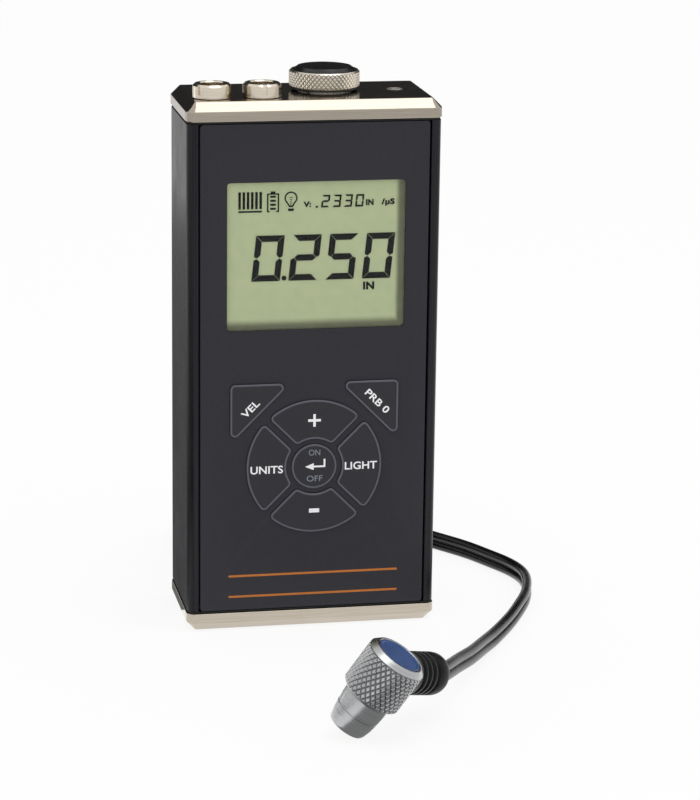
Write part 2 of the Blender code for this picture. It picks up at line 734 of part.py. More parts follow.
def build_end_caps():
    top = end_plate("top_end_cap")
    top.location.z = CASE_HEIGHT - CAP_THICKNESS
    under = CASE_HEIGHT - CAP_THICKNESS
    past = CASE_HEIGHT + WALL
    seat = TUBE_RADIUS + LAYER_GAP
    stepped = [(0, past), (KNOB_HOLE, past), (KNOB_HOLE, under + TUBE_SEAT), (seat, under + TUBE_SEAT)]
    stepped += [(seat, under - WALL), (0, under - WALL)]
    knob_hole = turned("knob_hole", stepped, None, CUTTERS)
    knob_hole.location = (BATTERY_X, BATTERY_Y, 0)
    socket_hole = SOCKET_THREAD_RADIUS + SEAT_GAP
    sockets = [
        cylinder(f"socket_hole_{tag}", socket_hole, under - WALL, past, (x, SOCKET_Y), CUTTERS)
        for tag, x in (("left", SOCKET_LEFT_X), ("right", SOCKET_RIGHT_X))
    ]
    cut(top, knob_hole, *sockets, *screw_holes("top", CASE_HEIGHT, True))
    bottom = end_plate("bottom_end_cap")
    bottom.rotation_euler = (math.pi, 0, 0)
    bottom.location.z = CAP_THICKNESS
    cut(bottom, *screw_holes("bottom", 0, False))
    inset = BODY_INSET + GASKET_INSET
    outer = rounded_rectangle(CASE_WIDTH - 2 * inset, CASE_DEPTH - 2 * inset, CORNER_RADIUS - inset)
    for name, middle in (
        ("bottom_gasket", CAP_THICKNESS + GASKET_SPACE / 2),
        ("top_gasket", CASE_HEIGHT - CAP_THICKNESS - GASKET_SPACE / 2),
    ):
        gasket = plate(name, [outer, hollow_outline()], GASKET_THICKNESS, GASKET)
        gasket.location.z = middle


def build_panel():
    height = BODY_HIGH - BODY_LOW - 2 * LAYER_GAP
    middle = (0, (BODY_HIGH + BODY_LOW) / 2)
    edge = rounded_rectangle(PANEL_WIDTH, height, WINDOW_CORNER, middle, 2)
    apertures = [outline(KEY_GAP) for outline in KEYS.values()]
    front_plate(
        "keypad_overlay",
        [edge, window(), *apertures],
        OVERLAY_FRONT,
        OVERLAY_THICKNESS,
        FILM,
    )
    front_plate(
        "display_window",
        [window(-WINDOW_GAP)],
        OVERLAY_FRONT,
        OVERLAY_THICKNESS,
        CLEAR,
    )
    build_circuit(edge)
    for name, outline in KEYS.items():
        build_key(name, outline)


def build_circuit(edge):
    """The membrane behind the overlay: a pocket under each key, with a dome formed in its floor."""
    border = window(GLASS_BORDER + SEAT_GAP)
    circuit = front_plate("keypad_circuit", [edge, border], CIRCUIT_FRONT, CIRCUIT_THICKNESS, CIRCUIT)
    pocket = KEY_TRAVEL + DOME_HEIGHT
    for name, outline in KEYS.items():
        hollow = front_plate(
            f"pocket_{name}",
            [outline(KEY_GAP)],
            CIRCUIT_FRONT - pocket,
            2 * pocket,
            into=CUTTERS,
        )
        cut(circuit, hollow)
    for name, outline in KEYS.items():
        x, z = middle_of(outline(0))
        if "corner" in name:
            x, z = x + math.copysign(CORNER_KEY_SIDE / 6, x), z + CORNER_KEY_SIDE / 6
        profile = [(0, DOME_HEIGHT), (DOME_RADIUS * 0.6, DOME_HEIGHT * 0.75)]
        profile += [(DOME_RADIUS, 0), (DOME_RADIUS, -LAYER_GAP), (0, -LAYER_GAP)]
        dome = turned(f"dome_{name}", profile, None, CUTTERS, SMALL_STEPS)
        dome.rotation_euler = (math.pi / 2, 0, 0)
        dome.location = (x, CIRCUIT_FRONT + pocket, z)
        join(circuit, dome)


def build_key(name, outline):
    """A key: a thin plate with a raised border."""
    front = OVERLAY_FRONT - KEY_PROUD - KEY_BORDER_HEIGHT
    key = front_plate(name, [outline(0)], front, KEY_THICKNESS + KEY_BORDER_HEIGHT, KEY_FILM)
    dish = front_plate(
        f"dish_{name}",
        [outline(-KEY_BORDER)],
        front - KEY_BORDER_HEIGHT,
        2 * KEY_BORDER_HEIGHT,
        into=CUTTERS,
    )
    cut(key, dish)


def build_display():
    front_plate("lcd_glass", [window(GLASS_BORDER)], GLASS_FRONT, GLASS_THICKNESS, GLASS)
    border = GLASS_BORDER + BACKLIGHT_BORDER
    front_plate("lcd_backlight", [window(border)], BACKLIGHT_FRONT, BACKLIGHT_THICKNESS, BACKLIGHT)


def build_board():
    half = CAVITY_SIDE - SEAT_GAP
    head = CASE_HEIGHT - BOARD_HEAD_ROOM
    board = box("main_board", (-half, BOARD_FRONT, BOARD_FOOT), (half, BOARD_BACK, head), BOARD)
    chip_x = (half + SCREW_X) / 4
    for tag, x, z, size in (
        ("processor", -chip_x, CASE_HEIGHT / 2, 0.010),
        ("converter", -chip_x, CASE_HEIGHT * 0.7, 0.007),
        ("driver", -chip_x, CASE_HEIGHT * 0.3, 0.008),
    ):
        chip = box(
            tag,
            (x - size / 2, BOARD_BACK - BOARD_THICKNESS / 2, z - size / 2),
            (x + size / 2, BOARD_BACK + CHIP_HEIGHT, z + size / 2),
            into=CUTTERS,
        )
        join(board, chip)


def build_battery():
    at = (BATTERY_X, BATTERY_Y, 0)
    wall = [(TUBE_RADIUS, TUBE_TOP), (TUBE_RADIUS, TUBE_FLOOR - TUBE_WALL), (0, TUBE_FLOOR - TUBE_WALL)]
    bore = [(0, TUBE_FLOOR), (TUBE_BORE, TUBE_FLOOR), (TUBE_BORE, TUBE_TOP)]
    turned("battery_tube", wall + bore, BLACK_PLASTIC, ring=True).location = at
    body = CELL_LENGTH - CELL_NUB_HEIGHT
    edge = CELL_NUB_HEIGHT / 2
    profile = [(0, CELL_LENGTH), (CELL_NUB_RADIUS, CELL_LENGTH), (CELL_NUB_RADIUS, body)]
    profile += [(CELL_RADIUS - edge, body), (CELL_RADIUS, body - edge), (CELL_RADIUS, edge)]
    profile += [(CELL_RADIUS - edge, 0), (0, 0)]
    for name, top in (
        ("battery_cell_upper", CELL_TOP),
        ("battery_cell_lower", CELL_TOP - CELL_LENGTH - SEAT_GAP),
    ):
        cell = turned(name, profile, CELL, steps=SMALL_STEPS)
        cell.location = (BATTERY_X, BATTERY_Y, top - CELL_LENGTH)
    steps = 10
    wound = SPRING_HEIGHT - 2 * (SPRING_WIRE + SEAT_GAP)
    points = [
        (
            BATTERY_X + SPRING_RADIUS * math.cos(2 * math.pi * i / steps),
            BATTERY_Y + SPRING_RADIUS * math.sin(2 * math.pi * i / steps),
            TUBE_FLOOR + SPRING_WIRE + SEAT_GAP + wound * i / (steps * SPRING_TURNS),
        )
        for i in range(steps * SPRING_TURNS + 1)
    ]
    tube("battery_spring", points, 2 * SPRING_WIRE, SPRING_STEEL)


def build_battery_cap():
    at = (BATTERY_X, BATTERY_Y, CASE_HEIGHT)
    low = SEAT_GAP + SEAL_HEIGHT + LAYER_GAP
    high = low + KNOB_HEIGHT
    spigot = KNOB_HOLE - KNOB_THREAD_GAP
    edge = KNOB_CHAMFER
    band_high = high - edge
    band_low = low + edge
    pitch = (band_high - band_low) / KNOB_ROWS
    disc_hole = DISC_RADIUS + LAYER_GAP
    disc_seat = high - DISC_SEAT_DEPTH
    profile = [(0, disc_seat), (disc_hole, disc_seat), (disc_hole, high), (KNOB_RADIUS - edge, high)]
    profile += [(KNOB_RADIUS, band_high - pitch * i) for i in range(KNOB_ROWS + 1)]
    profile += [(KNOB_RADIUS - edge, low), (spigot, low), (spigot, -KNOB_SPIGOT_DEPTH)]
    profile += [(0, -KNOB_SPIGOT_DEPTH)]
    cap = turned("battery_cap", profile, NICKEL, steps=KNOB_COLUMNS)
    knurl(cap, KNOB_RADIUS, band_low, band_high, KNOB_ROWS, KNOB_COLUMNS, KNURL_DEPTH)
    cap.location = at
    top = high + DISC_RISE
    shoulder = DISC_RADIUS - DISC_SLOPE
    foot = disc_seat + LAYER_GAP
    disc = [(0, top), (shoulder / 2, top - DISC_DOME / 4), (shoulder, top - DISC_DOME)]
    disc += [(DISC_RADIUS, high), (DISC_RADIUS, foot), (0, foot)]
    turned("battery_cap_disc", disc, DARK_DISC).location = at
    inner = spigot + LAYER_GAP
    seal = [(inner, SEAT_GAP + SEAL_HEIGHT), (SEAL_RADIUS - edge, SEAT_GAP + SEAL_HEIGHT)]
    seal += [(SEAL_RADIUS, SEAT_GAP + SEAL_HEIGHT / 2), (SEAL_RADIUS - edge, SEAT_GAP), (inner, SEAT_GAP)]
    turned("battery_cap_seal", seal, GASKET, ring=True).location = at


def build_sockets():
    """Two round sockets, each a nut-like barrel with four spanner notches and a threaded tail."""
    high, edge = SOCKET_HEIGHT, SOCKET_EDGE
    foot = LAYER_GAP
    bore_end = -SOCKET_RECESS
    lower_bore = INSERT_RADIUS + LAYER_GAP
    profile = [(SOCKET_BORE + edge / 2, high), (SOCKET_RADIUS - edge, high), (SOCKET_RADIUS, high - edge)]
    profile += [(SOCKET_RADIUS, foot), (SOCKET_THREAD_RADIUS, foot)]
    profile += [(SOCKET_THREAD_RADIUS, -SOCKET_DEPTH), (lower_bore, -SOCKET_DEPTH)]
    profile += [(lower_bore, bore_end), (SOCKET_BORE, bore_end)]
    profile += [(SOCKET_BORE, high - edge / 2)]
    insert_foot = -SOCKET_DEPTH - edge
    insert = [(CONTACT_RADIUS, bore_end), (INSERT_RADIUS, bore_end), (INSERT_RADIUS, insert_foot)]
    insert += [(0, insert_foot), (0, bore_end - high), (CONTACT_RADIUS, bore_end - high)]
    for tag, x, first in (("left", SOCKET_LEFT_X, 0.125), ("right", SOCKET_RIGHT_X, 0.0)):
        at = (x, SOCKET_Y, CASE_HEIGHT)
        shell = turned(f"socket_shell_{tag}", profile, NICKEL, steps=24, ring=True)
        shell.location = at
        for i in range(4):
            turn = 2 * math.pi * (first + i / 4)
            notch = box(
                f"notch_{tag}_{i}",
                (SOCKET_RADIUS - SOCKET_NOTCH_DEPTH, -SOCKET_NOTCH / 2, 2 * edge),
                (SOCKET_RADIUS + SOCKET_NOTCH, SOCKET_NOTCH / 2, high + edge),
                into=CUTTERS,
            )
            offset = Matrix.Translation(notch.location)
            notch.matrix_world = Matrix.Translation(at) @ Matrix.Rotation(turn, 4, "Z") @ offset
            cut(shell, notch)
        turned(f"socket_insert_{tag}", insert, INSULATOR, steps=SMALL_STEPS, ring=True).location = at


def build_screws():
    """Four alike countersunk screws with a crossed recess, which share one mesh."""
    depth = SCREW_HEAD_DEPTH
    profile = [(0, 0), (SCREW_HEAD_RADIUS, 0), (SCREW_RADIUS, -depth)]
    profile += [(SCREW_RADIUS, SCREW_RADIUS - SCREW_LENGTH), (0, -SCREW_LENGTH)]
    first = turned("screw_pattern", profile, STEEL, CUTTERS, SMALL_STEPS)
    reach = SCREW_HEAD_RADIUS * 0.6
    for tag, x, y in (("x", reach, SCREW_SLOT / 2), ("y", SCREW_SLOT / 2, reach)):
        cut(first, box(f"recess_{tag}", (-x, -y, -depth * 0.7), (x, y, depth), into=CUTTERS))
    pattern = baked(first)
    sunk = LAYER_GAP
    for name, side, top, turn in (
        ("screw_top_left", -1, CASE_HEIGHT - sunk, 0),
        ("screw_top_right", 1, CASE_HEIGHT - sunk, 0),
        ("screw_bottom_left", -1, sunk, math.pi),
        ("screw_bottom_right", 1, sunk, math.pi),
    ):
        screw = bpy.data.objects.new(name, pattern.data)
        PARTS.objects.link(screw)
        screw.location = (side * SCREW_X, SCREW_Y, top)
        screw.rotation_euler = (turn, 0, 0)
    bpy.data.objects.remove(pattern)


def probe_stand():
    """An empty at the middle of the probe's face, with Z up its axis and X along its boot."""
    stand = bpy.data.objects.new("probe_stand", None)
    PARTS.objects.link(stand)
    heading = Matrix.Rotation(PROBE_HEADING, 4, "Z")
    tilt = Matrix.Rotation(PROBE_TILT, 4, "Y")
    twist = Matrix.Rotation(PROBE_TWIST, 4, "Z")
    face = Matrix.Translation((PROBE_X, PROBE_Y, NOSE_FACE_RADIUS * math.sin(PROBE_TILT)))
    stand.matrix_world = face @ heading @ tilt @ twist
    return stand


def build_probe():
    stand = probe_stand()
    groove_low = NOSE_GROOVE_HEIGHT
    groove_high = groove_low + NOSE_GROOVE_DEPTH * 2
    waist = NOSE_FACE_RADIUS + (NOSE_RADIUS - NOSE_FACE_RADIUS) * 0.75
    belly = NOSE_FACE_RADIUS + (NOSE_RADIUS - NOSE_FACE_RADIUS) * 0.48
    stem = PROBE_CAP_RADIUS - 2 * PROBE_CAP_CHAMFER
    nose = [(0, NOSE_LENGTH + PROBE_CAP_LENGTH / 2), (stem, NOSE_LENGTH + PROBE_CAP_LENGTH / 2)]
    nose += [(stem, NOSE_LENGTH), (NOSE_RADIUS, NOSE_LENGTH - LAYER_GAP), (waist, groove_high)]
    nose += [(waist - NOSE_GROOVE_DEPTH, groove_low + NOSE_GROOVE_DEPTH), (waist, groove_low)]
    nose += [(belly, groove_low / 2), (NOSE_FACE_RADIUS, 0), (NOSE_BORE, 0)]
    nose += [(NOSE_BORE, NOSE_BORE_DEPTH), (0, NOSE_BORE_DEPTH)]
    pieces = [turned("probe_body", nose, STEEL, ring=True)]
    pieces += build_delay_lines()
    pieces += build_probe_cap(stem)
    pieces.append(build_boot())
    for piece in pieces:
        piece.parent = stand


def build_delay_lines():
    """The two half-round delay lines in the probe's face, and the barrier between them."""
    depth = NOSE_BORE_DEPTH - SEAT_GAP
    half_gap = BARRIER_THICKNESS / 2 + LAYER_GAP
    start = math.asin(half_gap / DELAY_RADIUS)
    made = []
    for name, turn in (("probe_face_transmit", 0.0), ("probe_face_receive", math.pi)):
        outline = arc((0, 0), DELAY_RADIUS, start + turn, math.pi - start + turn, 12)
        line = plate(name, [outline], depth, DELAY)
        line.location.z = depth / 2
        made.append(line)
    reach = math.sqrt(DELAY_RADIUS**2 - half_gap**2)
    half = BARRIER_THICKNESS / 2
    barrier = box("probe_barrier", (-reach, -half, 0), (reach, half, depth), CORK)
    return [*made, barrier]


def build_probe_cap(stem):
    """The knurled cap, hollow underneath over the body's stem, and the disc in its top."""
    low, high, edge = NOSE_LENGTH + SEAT_GAP, PROBE_LENGTH, PROBE_CAP_CHAMFER
    band_low, band_high = low + edge * 0.6, high - edge
    pitch = (band_high - band_low) / PROBE_CAP_ROWS
    disc_hole = PROBE_DISC_RADIUS + LAYER_GAP
    hollow = stem + SEAT_GAP
    ceiling = NOSE_LENGTH + PROBE_CAP_LENGTH / 2 + SEAT_GAP
    profile = [(0, high - PROBE_DISC_DEPTH), (disc_hole, high - PROBE_DISC_DEPTH), (disc_hole, high)]
    profile += [(PROBE_CAP_RADIUS - edge, high)]
    profile += [(PROBE_CAP_RADIUS, band_high - pitch * i) for i in range(PROBE_CAP_ROWS + 1)]
    profile += [(PROBE_CAP_RADIUS - edge * 0.6, low), (hollow, low), (hollow, ceiling), (0, ceiling)]
    cap = turned("probe_cap", profile, STEEL, steps=PROBE_CAP_COLUMNS, ring=True)
    knurl(cap, PROBE_CAP_RADIUS, band_low, band_high, PROBE_CAP_ROWS, PROBE_CAP_COLUMNS, KNURL_DEPTH)
    seat = high - PROBE_DISC_DEPTH + LAYER_GAP
    disc_profile = [(0, high), (PROBE_DISC_RADIUS, high), (PROBE_DISC_RADIUS, seat), (0, seat)]
    disc = turned("probe_disc", disc_profile, BLUE)
    return [cap, disc]


def build_boot():
    """The rubber boot that leaves the cap's side along local X, ribbed next to the cap."""
    end = BOOT_REACH
    start = PROBE_CAP_RADIUS / 2
    lead_hole = LEAD_WIDTH / 2
    profile = [(0, end), (lead_hole, end)]
    profile += [
        (lead_hole + (BOOT_RADIUS - lead_hole) * math.sin(a), end - BOOT_NOSE * (1 - math.cos(a)))
        for a in (math.radians(d) for d in (30, 60, 90))
    ]
    first = PROBE_CAP_RADIUS + BOOT_RIB_PITCH * (BOOT_RIBS - 0.4)
    for i in range(BOOT_RIBS):
        at = first - BOOT_RIB_PITCH * i
        profile += [(BOOT_RADIUS, at + BOOT_GROOVE), (BOOT_RADIUS - BOOT_GROOVE, at)]
        profile += [(BOOT_RADIUS, at - BOOT_GROOVE)]
    profile += [(BOOT_RADIUS, start), (0, start)]
    boot = turned("probe_boot", profile, BOOT_RUBBER, steps=24)
    boot.rotation_euler = (0, math.pi / 2, 0)
    boot.location = (0, 0, PROBE_LENGTH - BOOT_DROP)
    around = PROBE_CAP_RADIUS + SEAT_GAP
    around_cap = cylinder("around_cap", around, 0, 2 * PROBE_LENGTH, into=CUTTERS, steps=PROBE_CAP_COLUMNS)
    cut(boot, around_cap)
    boot = baked_with(boot, around_cap)
    return boot


def baked_with(obj, cutter):
    """Bakes a cut that was made in the piece's own frame, and drops the cutter."""
    made = baked(obj)
    bpy.data.objects.remove(cutter)
    smooth(made.data)
    return made


def build_lead():
    tube("twin_lead", smooth_route(LEAD_ROUTE), LEAD_WIDTH, LEAD_JACKET)
    tube("lead_end", smooth_route(LEAD_END_ROUTE), LEAD_WIDTH, LEAD_JACKET)
    for tag, route in zip("ab", TAIL_ROUTES):
        tube(f"lead_tail_{tag}", smooth_route(route, 1), TAIL_DIAMETER, LEAD_JACKET)
    edge = LEAD_WIDTH / 4
    inner, outer, high = COIL_INNER, COIL_OUTER, COIL_HEIGHT
    section = [(inner + edge, high), (outer - edge, high), (outer, high - edge), (outer, edge)]
    section += [(outer - edge, 0), (inner + edge, 0), (inner, edge), (inner, high - edge)]
    coil = turned("lead_coil", section, LEAD_JACKET, ring=True)
    coil.location = (COIL_X, COIL_Y, 0)
    build_tie(coil)


def build_tie(coil):
    """The strap round the coil, in a waist that it pulls into the turns."""
    middle = (COIL_INNER + COIL_OUTER) / 2
    width, height = COIL_OUTER - COIL_INNER, COIL_HEIGHT + TIE_THICKNESS
    at = Matrix.Translation((COIL_X, COIL_Y, height / 2)) @ Matrix.Rotation(TIE_ANGLE, 4, "Z")
    stand_up = Matrix.Translation((middle, 0, 0)) @ Matrix.Rotation(math.pi / 2, 4, "X")
    corner = LEAD_WIDTH / 3
    outer = rounded_rectangle(width, height, corner, steps=3)
    hole = rounded_rectangle(width - 2 * TIE_THICKNESS, height - 2 * TIE_THICKNESS, corner / 2, steps=3)
    tie = plate("coil_tie", [outer, hole], TIE_WIDTH, GASKET)
    tie.matrix_world = at @ stand_up
    pinch = 2 * (TIE_THICKNESS + SEAT_GAP)
    waist = rounded_rectangle(width - pinch, height - pinch, corner / 2, steps=3)
    around = rounded_rectangle(2 * width, 2 * height, corner, steps=3)
    notch = plate("tie_waist", [around, waist], TIE_WIDTH + 2 * SEAT_GAP, None, CUTTERS)
    notch.matrix_world = at @ stand_up
    cut(coil, notch)


def build_splitter():
    """The moulded sleeve where the twin lead parts into its two cores."""
    end_radius = LEAD_WIDTH / 2
    shoulder = SPLITTER_LENGTH / 4
    profile = [(0, SPLITTER_LENGTH), (end_radius, SPLITTER_LENGTH)]
    profile += [(SPLITTER_RADIUS, SPLITTER_LENGTH - shoulder), (SPLITTER_RADIUS, shoulder)]
    profile += [(end_radius, 0), (0, 0)]
    splitter = turned("lead_splitter", profile, BOOT_RUBBER, steps=SMALL_STEPS)
    lying = Matrix.Rotation(SPLITTER_HEADING, 4, "Z") @ Matrix.Rotation(math.pi / 2, 4, "Y")
    splitter.matrix_world = Matrix.Translation(SPLITTER_START) @ lying


def build_plug(tag, row):
    """A push-pull plug that lies on the floor with its nose towards +X."""
    at = (PLUG_TAIL_END_X, row, PLUG_SLEEVE_RADIUS)
    tail = TAIL_DIAMETER / 2 + LEAD_WIDTH / 10
    boot = [(0, PLUG_BOOT_LENGTH), (PLUG_BOOT_RADIUS, PLUG_BOOT_LENGTH)]
    for i in (3, 2, 1):
        share = i / 4
        radius = tail + (PLUG_BOOT_RADIUS - tail) * share
        height = PLUG_BOOT_LENGTH * share
        boot += [(radius + LAYER_GAP, height + BOOT_GROOVE), (radius - 2 * LAYER_GAP, height)]
    boot += [(tail, 0), (0, 0)]
    about_x(turned(f"plug_boot_{tag}", boot, BOOT_RUBBER, steps=SMALL_STEPS), at)
    nut = PLUG_BOOT_LENGTH + SEAT_GAP
    neck = nut + PLUG_NUT_LENGTH
    sleeve_low = neck + SEAT_GAP + PLUG_SLEEVE_TRAVEL
    sleeve_high = sleeve_low + PLUG_SLEEVE_LENGTH
    nose = sleeve_high + SEAT_GAP
    tip = nose + PLUG_NOSE_LENGTH
    floor = nose + SEAT_GAP
    edge = PLUG_PIN_RADIUS / 2
    body = [(0, tip - 2 * edge), (PLUG_PIN_RADIUS, tip - 3 * edge), (PLUG_PIN_RADIUS, floor)]
    body += [(PLUG_NOSE_BORE, floor), (PLUG_NOSE_BORE, tip), (PLUG_NOSE_RADIUS - edge, tip)]
    body += [(PLUG_NOSE_RADIUS, tip - edge), (PLUG_NOSE_RADIUS, nose), (PLUG_NECK_RADIUS, nose)]
    body += [(PLUG_NECK_RADIUS, neck), (PLUG_NUT_RADIUS, neck), (PLUG_NUT_RADIUS, nut + edge)]
    body += [(PLUG_NUT_RADIUS - edge, nut), (0, nut)]
    about_x(turned(f"plug_body_{tag}", body, NICKEL, steps=SMALL_STEPS), at)
    bore = PLUG_NECK_RADIUS + SEAT_GAP
    waist = PLUG_SLEEVE_RADIUS - edge
    groove = PLUG_GRIP_PITCH / 2
    sleeve = [(bore, sleeve_high), (waist, sleeve_high), (PLUG_SLEEVE_RADIUS, sleeve_high - edge)]
    for i in (1, 2, 3):
        height = sleeve_high - PLUG_GRIP_PITCH * i
        sleeve += [(PLUG_SLEEVE_RADIUS, height), (waist, height - groove / 2)]
        sleeve.append((PLUG_SLEEVE_RADIUS, height - groove))
    sleeve += [(PLUG_SLEEVE_RADIUS, sleeve_low + edge), (waist, sleeve_low), (bore, sleeve_low)]
    about_x(turned(f"plug_sleeve_{tag}", sleeve, NICKEL, steps=SMALL_STEPS, ring=True), at)


build_case()
build_end_caps()
build_panel()
build_display()
build_board()
build_battery()
build_battery_cap()
build_sockets()
build_screws()
build_probe()
build_lead()
build_splitter()
for plug_tag, plug_row in zip("ab", PLUG_ROWS):
    build_plug(plug_tag, plug_row)
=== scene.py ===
"""The dressed ultrasonic thickness gauge: its finishes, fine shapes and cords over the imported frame.

Everything is in metres, +Z up, with the case's front towards -Y and the floor at z = 0.
"""

import logging
import math
from collections.abc import Callable, Iterable, Sequence
from dataclasses import dataclass, field, replace
from enum import Enum
from functools import partial

import bmesh
import bpy
from mathutils import Matrix, Vector


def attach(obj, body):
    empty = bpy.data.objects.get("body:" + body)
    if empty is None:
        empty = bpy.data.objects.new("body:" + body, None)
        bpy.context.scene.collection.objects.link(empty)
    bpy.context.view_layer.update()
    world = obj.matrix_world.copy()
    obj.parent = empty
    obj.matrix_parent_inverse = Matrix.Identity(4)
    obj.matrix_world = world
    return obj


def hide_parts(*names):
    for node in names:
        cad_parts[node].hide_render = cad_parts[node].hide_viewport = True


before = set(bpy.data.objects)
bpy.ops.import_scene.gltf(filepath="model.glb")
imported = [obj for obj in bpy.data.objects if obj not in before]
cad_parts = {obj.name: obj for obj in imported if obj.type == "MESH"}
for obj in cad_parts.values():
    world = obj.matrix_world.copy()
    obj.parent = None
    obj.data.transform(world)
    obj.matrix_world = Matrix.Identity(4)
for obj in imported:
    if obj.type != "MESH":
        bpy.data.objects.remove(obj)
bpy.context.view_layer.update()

LOG = logging.getLogger("thickness_gauge")

Colour = tuple[float, float, float]
Point = tuple[float, float, float]
Box = tuple[float, float, float, float]
Outline = list[tuple[float, float]]
Steps = tuple[tuple[float, float], ...]
Socket = bpy.types.NodeSocket

FULL_TURN = 2 * math.pi
TO_FRONT = Matrix.Rotation(math.pi / 2, 4, "X")
WHITE = (1, 1, 1, 1)
SAME_PLACE = 1e-7  # vertices closer than this are merged
NEAR = 1e-6  # how exactly a vertex has to lie on a band or an end
EDGE = 0.0001  # the small break of a turned edge
FIT = 0.0001  # the gap between a piece and its seat
MM = 1000  # millimetres in a metre
COAT_ROUGHNESS = 0.12
BROAD_PATCHES = {"Scale": 85.0, "Detail": 3.0, "Roughness": 0.55}
FINE_MARKS = {"Scale": 1.0, "Detail": 4.0, "Roughness": 0.6}
FINE_RANGE = (0.32, 0.62)
BROAD_RANGE = (0.35, 0.65)
BOTH_RANGE = (0.7, 1.3)


def seen(red: float, green: float, blue: float) -> Colour:
    """A shader colour.

    Args:
        red: Red as a screen shows it, 0 to 255.
        green: Green, likewise.
        blue: Blue, likewise.

    Returns:
        The colour in the shader's linear scale.
    """
    def linear(value: float) -> float:
        """One channel on the linear scale."""
        share = value / 255
        return share / 12.92 if share <= 0.04045 else ((share + 0.055) / 1.055) ** 2.4

    return (linear(red), linear(green), linear(blue))


class Grain(Enum):
    """How a finish's fine marks run: noise cells per metre along X, Y and Z."""

    MOULDED = (1400.0, 1400.0, 1400.0)
    PEBBLED = (3200.0, 3200.0, 3200.0)
    BLASTED = (5200.0, 5200.0, 5200.0)
    BRUSHED_ALONG_X = (70.0, 5200.0, 5200.0)
    DRAWN_ALONG_Z = (1900.0, 1900.0, 9.0)
    TURNED = (120.0, 120.0, 6500.0)


class Recipe:
    """The nodes of one material while they are put together."""

    def __init__(self, name: str) -> None:
        """Starts an empty material.

        Args:
            name: The material's name.
        """
        self.material = bpy.data.materials.new(name)
        self.material.use_nodes = True
        self.nodes = self.material.node_tree.nodes
        self.links = self.material.node_tree.links
        self.shader = self.nodes["Principled BSDF"]

    def add(self, kind: str, inputs: dict | None = None, **settings: object) -> bpy.types.Node:
        """Adds a node.

        Args:
            kind: The node's type, without the ShaderNode in front.
            inputs: Values of its inputs, or the sockets that they are linked to, by name or number.
            **settings: Its own properties.

        Returns:
            The node.
        """
        node = self.nodes.new("ShaderNode" + kind)
        for key, value in settings.items():
            setattr(node, key, value)
        self.set(inputs or {}, node)
        return node

    def set(self, inputs: dict, node: bpy.types.Node | None = None) -> None:
        """Gives inputs their values or links.

        Args:
            inputs: The values or sockets by the inputs' names or numbers.
            node: The node, or None for the surface's own shader.
        """
        for key, value in inputs.items():
            target = (node or self.shader).inputs[key]
            if isinstance(value, Socket):
                self.links.new(value, target)
            else:
                target.default_value = value

    def cover(self, shader: bpy.types.Node) -> None:
        """Makes another shader the surface's."""
        self.set({"Surface": shader.outputs[0]}, self.nodes["Material Output"])

    def ramp(self, value: Socket, low: Colour, high: Colour, start: float, end: float) -> Socket:
        """A colour that goes from one to another as a value rises.

        Args:
            value: The value.
            low: The colour up to start.
            high: The colour from end on.
            start: Where the change starts.
            end: Where it ends.

        Returns:
            The colour's socket.
        """
        node = self.add("ValToRGB", {0: value})
        for element, place in zip(node.color_ramp.elements, (start, end)):
            element.position = place
        for element, colour in zip(node.color_ramp.elements, (low, high)):
            element.color = (*colour, 1.0)
        return node.outputs[0]

    def spread(
        self, value: Socket, low: float, high: float, start: float = 0.3, end: float = 0.7
    ) -> Socket:
        """A number that goes from low to high as a value goes from start to end.

        Args:
            value: The value.
            low: The number at the start.
            high: The number at the end.
            start: The value's start.
            end: The value's end.

        Returns:
            The number's socket.
        """
        inputs = {"Value": value, "From Min": start, "From Max": end, "To Min": low, "To Max": high}
        return self.add("MapRange", inputs).outputs[0]

    def mix(self, share: Socket, first: Socket, second: Socket) -> Socket:
        """A mix of two colours.

        Args:
            share: How much of the second colour.
            first: The first colour.
            second: The second colour.

        Returns:
            The mixed colour's socket.
        """
        return self.add("Mix", {0: share, 6: first, 7: second}, data_type="RGBA").outputs[2]


